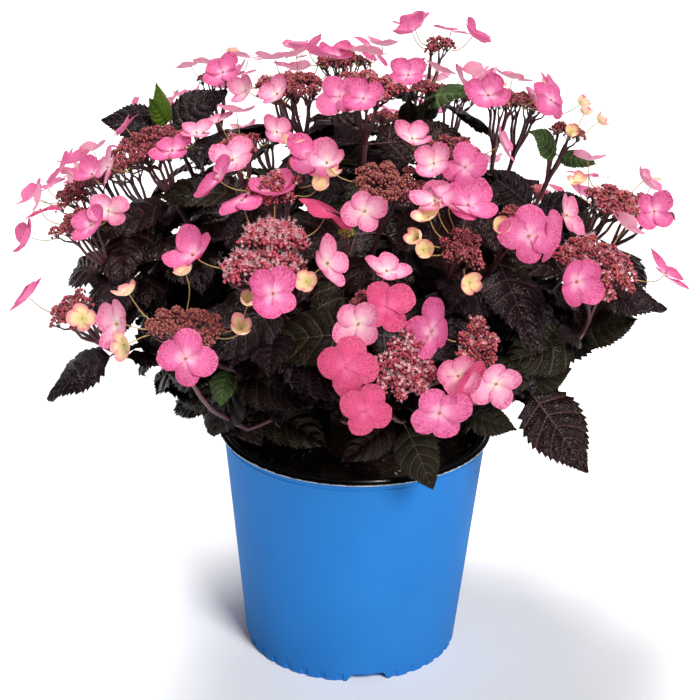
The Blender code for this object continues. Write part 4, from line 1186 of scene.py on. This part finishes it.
floret_spots = {age: [] for age in FLORET_SIZES}
pedicels = []
for cane in canes:
    for number, head in enumerate(cane.heads):
        tip, _, dome, _ = head
        chance = random.Random(f"{cane.name} sepals {number}")
        for centre, face, size, age in florets_of(head, f"{cane.name} head {number}"):
            way = (centre - tip).normalized()
            face = face + Vector(chance.uniform(-1, 1) for _ in range(3)) * FLORET_NOD
            face.z = max(face.z, FLORET_LOOKS_UP * face.y)
            face.normalize()
            turn = Matrix.Rotation(chance.uniform(0, 1.5), 4, "Z")
            matrix = frame_matrix(centre, way.cross(face), face) @ turn
            floret_spots[age].append((matrix, size, chance.randrange(FLORET_KINDS)))
            axis = dome_axis(cane, number)
            flat = (way - axis * way.dot(axis)).normalized()
            start = tip + flat * dome * 0.85 - axis * 0.004
            stalk = arc(start, flat, centre - face * size * 0.01, face, 6)
            pedicels.append((stalk, tapered(7, *PEDICEL_RADII)))
for age, spots in floret_spots.items():
    tint = TINT_NAMES[age]
    materials = {
        "Sepal": sepal_finish(f"sepal_{tint}", *SEPAL_TINTS[age]),
        "Eye": finish(f"floret_eye_{tint}", EYES[age], (150, 90, 60), 800, 0.6),
    }
    shapes = template_collection(f"floret_{tint}", [
        floret_mesh(f"floret_{age}_{kind}", kind + 20, bowl) for kind, bowl in enumerate(BOWLS[age])
    ])
    growth = dealt_growth(f"dealt_florets_{tint}", list(materials))
    as_piece(deal(growth, shapes, spots, materials), f"florets_{tint}", foliage_nodes)
    discard(shapes)
pedicel_green = finish("pedicel_yellow_green", (156, 134, 72), (148, 96, 66), 120)
limbs("floret_stalks", pedicels, PEDICEL_SIDES, 0, 100, pedicel_green, foliage_nodes)

# The leaves
# Opposite pairs of pointed oval leaves with finely toothed margins, so dark a plum that they read as black,
# with sunken veins that quilt the blade. Lower and inner ones are bronze green, the youngest a fresh green,
# and most low ones take a near-black, duller tint that is painted shade for the dark under the crown.
LEAF_LENGTH, LEAF_HALF_WIDTH, YOUNG_SLIMNESS = 0.091, 0.315, 0.6
LEAF_VEINS, ROWS_PER_VEIN = 7, 3
BLADE_COLUMNS = (-1, -0.74, -0.46, -0.18, 0, 0.18, 0.46, 0.74, 1)
TOOTH_ALONG, TOOTH_OUT = 0.92, 0.50
PETIOLE, STALK_START, STALK_THICKNESS = 0.10, 0.012, 0.017
LEAF_KINDS, YOUNG_KINDS = 12, 2
RIB_WIDTH, RIB_PROUD, VEIN_DEPTH = 0.008, 0.0035, 0.0008
# Leaves rooted below this height mostly take the shade tint: painted shade, near-black and duller, for the
# dark under the crown.
LOW_LEAVES_END = 0.335
LOW_TINTS = (("shade", "aubergine", "bronze"), (0.66, 0.14, 0.20))
HIGH_TINTS = (("plum", "aubergine", "bronze"), (0.52, 0.34, 0.14))
# Each tint's blade, patches, veins and gloss.
LEAF_TINTS = {
    "plum": ((10, 4, 6), (20, 9, 13), (82, 58, 62), 0.21),
    "aubergine": ((22, 8, 8), (14, 5, 7), (96, 62, 56), 0.2),
    "bronze": ((18, 19, 8), (26, 13, 7), (92, 82, 56), 0.15),
    # The shade tint is painted shade: near-black, with less gloss.
    "shade": ((9, 4, 5), (13, 8, 6), (54, 34, 32), 0.09),
    "green": ((46, 74, 28), (40, 40, 26), (140, 156, 108), 0.17),
    "young": ((66, 100, 22), (96, 116, 30), (146, 168, 88), 0.17),
}
# Leaves with a place of their own: the cane and its shoot, the share along the shoot, the tip's bearing,
# reach and height, the bearing and lift in degrees of the way the blade faces, and its tint.
NAMED_LEAVES = (
    ("right_low", 2, 1.00, (-32.5, 0.2225, 0.219), (-66, 35), "aubergine"),
    ("right_low", 0, 0.60, (-54, 0.188, 0.328), (-78, 40), "bronze"),
    ("right_low", 0, 0.60, (-31, 0.255, 0.360), (-66, 44), "bronze"),
    ("right_low", 0, 0.89, (-30, 0.275, 0.370), (-60, 60), "plum"),
    ("right_low", 2, 1.00, (-30, 0.199, 0.3025), (-80, 20), "bronze"),
    ("front_right", 3, 1.00, (-41, 0.172, 0.253), (-75, 35), "bronze"),
    ("right", 1, 0.61, (0, 0.190, 0.405), (-85, 40), "plum"),
    ("right", 1, 0.61, (8, 0.102, 0.427), (-90, 45), "plum"),
    ("right", 1, 0.89, (0, 0.135, 0.468), (-90, 45), "green"),
    ("right", 1, 0.89, (0, 0.192, 0.440), (-90, 50), "green"),
    ("top", 2, 0.93, (5, 0.091, 0.494), (-90, 65), "green"),
    ("top", 2, 0.79, (20, 0.040, 0.490), (-100, 20), "bronze"),
    ("top", 2, 0.79, (15, 0.060, 0.491), (-70, 20), "bronze"),
    ("back_left_top", 2, 1.00, (155, 0.123, 0.479), (-90, 46), "plum"),
    ("back_left_top", 2, 1.00, (168, 0.222, 0.453), (-90, 40), "plum"),
    ("back_left_top", 2, 1.00, (164, 0.178, 0.486), (-95, 15), "young"),
    ("back_left_top", 2, 1.00, (170.3, 0.1785, 0.480), (-85, 25), "young"),
    ("left", 0, 0.50, (-176, 0.210, 0.394), (-98, 45), "plum"),
    ("left_low", 1, 0.62, (-162, 0.230, 0.358), (-105, 35), "plum"),
    ("left_low", 1, 0.62, (-172, 0.201, 0.371), (-95, 40), "plum"),
    ("left_low", 1, 0.54, (-161, 0.230, 0.320), (-110, 35), "aubergine"),
    ("left_low", 0, 0.62, (-157, 0.268, 0.265), (-95, 78), "plum"),
    ("front", 3, 0.93, (-66, 0.155, 0.212), (-80, 15), "bronze"),
    ("front", 3, 0.48, (-94, 0.148, 0.238), (-85, 40), "aubergine"),
    ("front_left", 2, 0.64, (-105, 0.250, 0.354), (-92, 52), "plum"),
    ("front_left", 0, 0.26, (-109.3, 0.1780, 0.2768), (-90, 40), "plum"),
    ("front_left", 4, 0.54, (-100.7, 0.1211, 0.2370), (-95, 45), "bronze"),
    ("front_left", 4, 0.88, (-124, 0.158, 0.248), (-105, 40), "bronze"),
    ("front_left", 0, 0.58, (-117, 0.228, 0.310), (-105, 45), "green"),
    ("front_left", 4, 1.00, (-141.4, 0.1474, 0.2304), (-120, 42), "bronze"),
    ("front_left", 4, 0.80, (-123.8, 0.1348, 0.2331), (-100, 30), "aubergine"),
)
# Shoots that have shed this many of their upper pairs.
SHED_PAIRS = {
    ("right", 0): 2, ("right", 1): 1, ("back_right", 0): 2, ("back_right", 1): 1, ("back_right", 3): 1,
    ("back_left", 0): 1, ("back_left_top", 1): 1, ("right_low", 0): 1,
}
# What is tried to find room for a leaf: share of its size, swing in degrees, lift.
LEAF_TRIES = (
    (1, 0, 0), (1, 22, 0.1), (1, -22, 0.1), (1, 12, 0.35), (0.9, 40, 0), (0.9, -40, 0),
    (0.85, 0, 0.5), (0.85, 30, -0.3), (0.85, -30, -0.3), (0.72, 0, 0.7), (0.72, 50, 0.2),
    (0.72, -50, 0.2), (0.6, 70, 0.3), (0.6, -70, 0.3), (0.5, 0, 0.9), (0.5, 90, 0.4), (0.5, -90, 0.4),
)
FREE_SHARE = 0.8
RIM_CLEARANCE = 0.003
# The crown's lower and upper bounds for leaves, by reach from the pot's axis: the skirt rises outwards, and
# more steeply past its bend, and the ceiling falls as the flower heads do. At its right side and its front
# the crown is open underneath, and the more so the nearer it is to the front.
SKIRT_HEIGHT, SKIRT_RISE, SKIRT_BEND, SKIRT_STEEPER = 0.158, 0.44, 0.165, 1.0
CEILING_HEIGHT, CEILING_FALL = 0.512, 2.1
HOLLOW_SIDE, HOLLOW_HEIGHT, HOLLOW_RISE = 0.145, 0.272, 0.444
FRONT_HOLLOW, FRONT_HOLLOW_LEFT, FRONT_HOLLOW_HEIGHT = -0.06, -0.085, 0.219


def half_width(x):
    """The blade's half width at this share of its length: widest before the middle, drawn to a long point."""
    return LEAF_HALF_WIDTH * np.sin(np.pi * np.clip(x, 0, 1) ** 0.73) ** 0.78 * (1 - 0.52 * x**5)


class LeafForm:
    """How one kind of leaf is bent, folded, twisted and waved."""

    def __init__(self, seed):
        chance = random.Random(f"leaf form {seed}")
        self.slim = YOUNG_SLIMNESS if seed >= LEAF_KINDS else 1
        self.bend = chance.uniform(0.15, 0.62)
        self.fold = chance.uniform(0.08, 0.38)
        self.twist = chance.uniform(-0.32, 0.32)
        self.wave = chance.uniform(0.02, 0.05)
        self.phase = chance.uniform(0, math.tau)
        self.quilt = chance.uniform(0.054, 0.074)

    def spot(self, row, column):
        """How far along and across the blade a place lies: rows of places follow the side veins."""
        x = row + 0.24 * math.sin(math.pi * row) * abs(column) ** 1.3
        return x, column * float(half_width(x)) * self.slim

    def blade_point(self, row, column, proud=0.0):
        """A point of the blade: row runs from base to tip, column from margin to margin."""
        side = abs(column)
        x, y = self.spot(row, column)
        bulge = abs(math.sin(math.pi * LEAF_VEINS * row)) ** 0.7
        pucker = 1 + 0.16 * math.sin(13 * side + 2.4 * math.floor(LEAF_VEINS * row) + self.phase)
        z = self.quilt * bulge * pucker * (1 - (1 - side) ** 5) * (1 - 0.6 * side**3)
        z *= math.sin(math.pi * row) ** 0.5
        z += self.fold * (abs(y) - 1.35 * y * y / LEAF_HALF_WIDTH)
        z += self.wave * side * side * math.sin(9 * row + self.phase * (1 if column > 0 else 1.7))
        return self.bent(x, y, z + proud)

    def bent(self, x, y, z):
        """Twists a point about the midrib, then bends the leaf down along its length."""
        turn = self.twist * x
        y, z = y * math.cos(turn) - z * math.sin(turn), y * math.sin(turn) + z * math.cos(turn)
        curl = self.bend * x
        along = PETIOLE + math.sin(curl) / self.bend + z * math.sin(curl)
        return Vector((along, y, z * math.cos(curl) - (1 - math.cos(curl)) / self.bend))


def rib(form, line, width):
    """A narrow raised strip along a line of (row, column) places on a leaf."""
    spots = [form.blade_point(row, column, RIB_PROUD) for row, column in line]
    points = []
    for number, spot in enumerate(spots):
        ahead = spots[min(number + 1, len(spots) - 1)] - spots[max(number - 1, 0)]
        narrowed = 1 - 0.75 * number / (len(spots) - 1)
        across = ahead.cross(Vector((0, 0, 1))).normalized() * width / 2 * narrowed
        points += [spot - across, spot + across]
    return points, [(2 * n, 2 * n + 1, 2 * n + 3, 2 * n + 2) for n in range(len(spots) - 1)], 1


def leaf_mesh(name, seed):
    """A leaf of unit length from its root: tones are blade, rib and stalk."""
    form = LeafForm(seed)
    rows = LEAF_VEINS * ROWS_PER_VEIN
    wide = len(BLADE_COLUMNS)
    blade, places = [], []
    for row in range(rows + 1):
        for column in BLADE_COLUMNS:
            blade.append(form.blade_point(row / rows, column))
            along, across = form.spot(row / rows, column)
            places.append((row / rows, across, along))
    faces = grid_faces(rows + 1, wide)
    for row in range(1, rows - 1):
        for margin, inward in ((0, 1), (wide - 1, -1)):
            corner = row * wide + margin
            near, far, inner = blade[corner], blade[corner + wide], blade[corner + inward]
            edge = far - near
            out = (near - inner) - edge * (near - inner).dot(edge) / edge.length_squared
            corners = (corner, len(blade), corner + wide)
            blade.append(near + edge * TOOTH_ALONG + out.normalized() * edge.length * TOOTH_OUT)
            places.append(places[corner])
            faces.append(corners[::inward])
    parts = [(blade, faces, 0), rib(form, [(share / 12, 0) for share in range(12)], RIB_WIDTH)]
    for vein in range(1, LEAF_VEINS):
        for side in (-1, 1):
            line = [(vein / LEAF_VEINS, side * reach) for reach in (0.0, 0.3, 0.6, 0.88)]
            parts.append(rib(form, line, RIB_WIDTH / 2))
    stalk_end = form.blade_point(0.01, 0) + Vector((0.03, 0, -0.008))
    parts.append((*spike(Vector((0, 0, STALK_START)), stalk_end, STALK_THICKNESS), 2))
    return placed_mesh(name, parts, "blade_place", places)


def in_crown(point):
    reach = point.xy.length
    skirt = SKIRT_HEIGHT + SKIRT_RISE * reach + SKIRT_STEEPER * max(0, reach - SKIRT_BEND)
    if point.x > HOLLOW_SIDE:
        skirt = max(skirt, HOLLOW_HEIGHT + HOLLOW_RISE * max(0, -point.y))
    if point.y < FRONT_HOLLOW and point.x > FRONT_HOLLOW_LEFT:
        skirt = max(skirt, FRONT_HOLLOW_HEIGHT - HOLLOW_RISE * point.y)
    return skirt < point.z < CEILING_HEIGHT - CEILING_FALL * reach**2


def leaves_of(path, dome, seed):
    """Root, direction, face direction and length of each leaf along a shoot, in crossed pairs."""
    chance = random.Random(seed)
    turn = chance.choice((0, 90))
    made = []
    for number, share in enumerate(pair_places(path, dome)):
        point, way = along_path(path, share)
        out = outward(point)
        side = Vector((0, 0, 1)).cross(out)
        side = (side - way * side.dot(way)).normalized()
        front = side.cross(way)
        for half in (0, 180):
            angle = math.radians(turn + 90 * number + half + chance.uniform(-22, 22))
            spread = front * math.cos(angle) + side * math.sin(angle)
            droop = chance.uniform(0.15, 0.45) + 0.5 * (1 - share)
            along = (spread + way * 0.35 - Vector((0, 0, droop))).normalized()
            face = out * 0.55 + Vector((0, 0, 1)) + side * chance.uniform(-0.3, 0.3)
            inward = 0.8 if math.cos(angle) < -0.5 else 1
            length = LEAF_LENGTH * chance.uniform(0.80, 1.08) * inward * (1 - 0.28 * share**2)
            made.append((point, along, face, length))
    return made


class Room:
    """What already fills the crown, as coarse skins, so that leaves are dealt only where there is room."""

    def __init__(self):
        self.skins = []
        self.middles = []
        self.reaches = []

    def fill(self, points, faces):
        middle = sum(points, Vector()) / len(points)
        self.skins.append(BVHTree.FromPolygons(points, faces))
        self.middles.append(middle[:])
        self.reaches.append(max((point - middle).length for point in points))

    def free(self, points, faces):
        """True where the shape, drawn in a little, clears the rim and crosses nothing."""
        middle = sum(points, Vector()) / len(points)
        points = [middle.lerp(point, FREE_SHARE) for point in points]
        for point in points:
            if point.z < RIM_TOP + RIM_CLEARANCE and point.xy.length < RIM_RADIUS + RIM_CLEARANCE:
                return False
        own = max((point - middle).length for point in points)
        apart = np.linalg.norm(np.array(self.middles) - np.array(middle), axis=1) - np.array(self.reaches)
        skin = BVHTree.FromPolygons(points, faces)
        return not any(skin.overlap(self.skins[near]) for near in np.nonzero(apart < own)[0])


def coarse_leaf(matrix, length, form):
    """A leaf's outline in a dozen points, for finding room."""
    spots = [(0.02, 0), (0.3, -0.9), (0.3, 0), (0.3, 0.9), (0.62, -0.9), (0.62, 0), (0.62, 0.9), (0.98, 0)]
    points = [matrix @ (form.blade_point(row, column) * length) for row, column in spots]
    return points, [(0, 1, 2), (0, 2, 3), (1, 4, 5, 2), (2, 5, 6, 3), (4, 7, 5), (5, 7, 6)]


def coarse_floret(matrix, size):
    points = [matrix.translation]
    points += [matrix @ around(math.tau * corner / 8, size * 0.45, size * 0.02) for corner in range(8)]
    return points, [(0, corner, corner % 8 + 1) for corner in range(1, 9)]


def coarse_tube(path, radius):
    """Three flat sides along a path, for finding room."""
    points, faces = [], []
    for number, spot in enumerate(path):
        way = path[min(number + 1, len(path) - 1)] - path[max(number - 1, 0)]
        points += triangle(spot, way.normalized(), radius)
        low, high = 3 * number - 3, 3 * number
        if number:
            faces += [(low + a, low + b, high + b, high + a) for a, b in ((0, 1), (1, 2), (2, 0))]
    return points, faces


def add_leaf(leaf, chance, tint):
    """Deals the leaf where it fits, if need be turned a little or smaller."""
    root, along, face, length = leaf
    kind = chance.randrange(LEAF_KINDS)
    for share, swing, lift in LEAF_TRIES:
        way = Matrix.Rotation(math.radians(swing), 3, "Z") @ along.normalized() + Vector((0, 0, lift))
        matrix = frame_matrix(root, way, face)
        skin = coarse_leaf(matrix, length * share, LEAF_FORMS[kind])
        if all(in_crown(point) for point in skin[0]) and room.free(*skin):
            room.fill(*skin)
            leaf_spots[tint].append((matrix, length * share, kind))
            return


def leaf_veins():
    """Shared effect: a blade's sunken side veins, and the fine net of veins that quilts its skin."""
    tree, given, end = node_group(
        "leaf_veins",
        "ShaderNodeTree",
        (
            ("Place", "Vector"),
            ("Blade", "Color"),
            ("Vein", "Color"),
            ("Side Veins", "Float", LEAF_VEINS),
            ("Net per Length", "Float", 24),
            ("Vein Share", "Float", 0.36),
        ),
        (("Colour", "Color"), ("Height", "Float")),
    )

    def band(value, *edges):
        """A soft step: where it starts and ends, and what it gives before and after."""
        values = dict(zip(("Value", "From Min", "From Max", "To Min", "To Max"), (value, *edges)))
        return add_node(tree, "ShaderNodeMapRange", values, interpolation_type="SMOOTHSTEP")["Result"]

    row, across, along = add_node(tree, "ShaderNodeSeparateXYZ", {"Vector": given["Place"]})
    level = add_node(tree, "ShaderNodeCombineXYZ", {"X": across, "Y": along})["Vector"]
    cells = {"Vector": level, "Scale": given["Net per Length"]}
    flat = {"voronoi_dimensions": "2D", "feature": "DISTANCE_TO_EDGE"}
    net = add_node(tree, "ShaderNodeTexVoronoi", cells, **flat)["Distance"]
    vein = maths(tree, "PINGPONG", maths(tree, "MULTIPLY", row, given["Side Veins"]), 0.5)
    lines = maths(tree, "MAXIMUM", band(vein, 0.02, 0.11, 1, 0), band(net, 0.01, 0.10, 0.22, 0))
    share = maths(tree, "MULTIPLY", lines, given["Vein Share"])
    wire(tree, end, {
        "Colour": mixed(tree, share, given["Blade"], given["Vein"]),
        "Height": maths(tree, "ADD", band(vein, 0, 0.22, 0, 0.6), band(net, 0, 0.30, 0, 0.4)),
    })
    return tree


VEINS = leaf_veins()


def blade_finish(tint, blade, patch, vein, gloss):
    """A leathery upper skin: the tint drifting in patches, veined, and quilted between the veins."""
    made = finish(f"leaf_{tint}", blade, patch, 60, 0.27, 900, spread=0.14, specular=gloss)
    tree, shader, grain = parts_of(made)
    place = add_node(tree, "ShaderNodeAttribute", attribute_name="blade_place")["Vector"]
    own = {"Place": place, "Blade": grain.outputs["Colour"], "Vein": srgb(*vein)}
    veins = add_node(tree, "ShaderNodeGroup", own, node_tree=VEINS)
    relief = {"Height": veins["Height"], "Distance": VEIN_DEPTH, "Normal": grain.outputs["Normal"]}
    wire(tree, shader, {
        "Base Color": veins["Colour"],
        "Normal": add_node(tree, "ShaderNodeBump", relief)["Normal"],
        "Specular Tint": (1, 0.86, 0.82, 1),
    })
    return made


LEAF_FORMS = [LeafForm(kind) for kind in range(LEAF_KINDS + YOUNG_KINDS)]
room = Room()
for cane in canes:
    room.fill(*coarse_tube(cane.bough[::5], BOUGH_RADII[0]))
    for path, (tip, axis, dome, _) in zip(cane.shoots, cane.heads):
        room.fill(*coarse_tube(path[:: SHOOT_STEPS // 7], SHOOT_RADII[1]))
        if dome:
            top = frame_matrix(tip + axis * dome * 0.1, axis.orthogonal(), axis)
            room.fill(*coarse_floret(top, dome * 2))
for spots in floret_spots.values():
    for matrix, size, _ in spots:
        room.fill(*coarse_floret(matrix, size))

leaf_spots = {tint: [] for tint in LEAF_TINTS}
for row, (owner, shoot, share, tip, (bearing, lift), tint) in enumerate(NAMED_LEAVES):
    path = next(cane for cane in canes if cane.name == owner).shoots[shoot]
    root = along_path(path, share)[0]
    way = place(*tip) - root
    face = place(bearing, math.cos(math.radians(lift)), math.sin(math.radians(lift)))
    kind = LEAF_KINDS + row % YOUNG_KINDS if tint == "young" else row % LEAF_KINDS
    own_tip = LEAF_FORMS[kind].blade_point(1, 0)
    level = Matrix.Rotation(math.atan2(own_tip.z, own_tip.x), 4, "Y")
    matrix = frame_matrix(root, way, face) @ level
    length = way.length / own_tip.length
    room.fill(*coarse_leaf(matrix, length, LEAF_FORMS[kind]))
    leaf_spots[tint].append((matrix, length, kind))
for cane in canes:
    for number, (path, head) in enumerate(zip(cane.shoots, cane.heads)):
        chance = random.Random(f"{cane.name} tints {number}")
        own_leaves = leaves_of(path, head[2], f"{cane.name} leaves {number}")
        kept = len(own_leaves) - 2 * SHED_PAIRS.get((cane.name, number), 0)
        for leaf in own_leaves[:kept]:
            tints = LOW_TINTS if leaf[0].z < LOW_LEAVES_END else HIGH_TINTS
            add_leaf(leaf, chance, chance.choices(*tints)[0])

leaf_kinds = range(LEAF_KINDS + YOUNG_KINDS)
leaf_shapes = template_collection("leaf", [leaf_mesh(f"leaf_{kind}", kind) for kind in leaf_kinds])
DEALT_LEAVES = dealt_growth("dealt_leaves", ["Blade", "Rib", "Leaf stalk"])
for tint, (blade, patch, vein, gloss) in LEAF_TINTS.items():
    materials = {
        "Blade": blade_finish(tint, blade, patch, vein, gloss),
        "Rib": finish(f"leaf_rib_{tint}", vein, blade, 60),
        "Leaf stalk": maroon_stem,
    }
    mesh = deal(DEALT_LEAVES, leaf_shapes, leaf_spots[tint], materials)
    as_piece(mesh, f"leaves_{tint}", foliage_nodes)
discard(leaf_shapes)

# The studio
# A pale paper floor under a faint white sky, with a broad soft light from the front left and a second one
# from above. The camera stands in front of the pot and looks down on it.
FRAME_PIXELS, FOCAL_PIXELS, SENSOR_WIDTH = 700, 2371, 36
VIEW_RISE, VIEW_ROLL, VIEW_DISTANCE = math.radians(23.95), math.radians(1.317), 2.003
VIEW_TARGET = Vector((-0.0058, 0, 0.270))
FLOOR_HALF, FLOOR_SQUARES = 12, 8
SKY_STRENGTH = 0.10


def soft_light(name, way, spread, strength):
    """A broad far light that falls evenly along this way."""
    light = bpy.data.lights.new(name, "SUN")
    light.angle = math.radians(spread)
    light.energy = strength
    holder = bpy.data.objects.new(name, light)
    holder.rotation_euler = way.to_track_quat("-Z", "Y").to_euler()
    bpy.context.scene.collection.objects.link(holder)


floor_mesh = bpy.data.meshes.new("paper_floor")
floor_shape = bmesh.new()
bmesh.ops.create_grid(floor_shape, x_segments=FLOOR_SQUARES, y_segments=FLOOR_SQUARES, size=FLOOR_HALF)
floor_shape.to_mesh(floor_mesh)
floor_shape.free()
floor_mesh.materials.append(finish("paper_floor", (250, 250, 250), (246, 246, 246), 3, 0.9, 300, 0.00005))
floor = bpy.data.objects.new("paper_floor", floor_mesh)
bpy.context.scene.collection.objects.link(floor)
soft_light("front_light", Vector((-1.9, 3.6, -3.3)), 20, 3.2)
soft_light("top_light", Vector((0.8, -0.9, -4.1)), 24, 3.7)

sky = bpy.data.worlds.new("white_sky")
sky.use_nodes = True
wire(sky.node_tree, sky.node_tree.nodes["Background"], {"Color": (1, 1, 1, 1), "Strength": SKY_STRENGTH})
bpy.context.scene.world = sky
bpy.context.scene.view_settings.view_transform = "Standard"

ahead = Vector((0, math.cos(VIEW_RISE), -math.sin(VIEW_RISE)))
right = Vector((1, 0, 0))
up = Vector((0, math.sin(VIEW_RISE), math.cos(VIEW_RISE)))
view_x = right * math.cos(VIEW_ROLL) + up * math.sin(VIEW_ROLL)
view_y = up * math.cos(VIEW_ROLL) - right * math.sin(VIEW_ROLL)
lens = bpy.data.cameras.new("camera")
lens.sensor_width = SENSOR_WIDTH
lens.lens = SENSOR_WIDTH * FOCAL_PIXELS / FRAME_PIXELS
camera = bpy.data.objects.new("camera", lens)
facing = Matrix((view_x, view_y, -ahead)).transposed().to_4x4()
camera.matrix_world = Matrix.Translation(VIEW_TARGET - ahead * VIEW_DISTANCE) @ facing
bpy.context.scene.collection.objects.link(camera)
bpy.context.scene.camera = camera
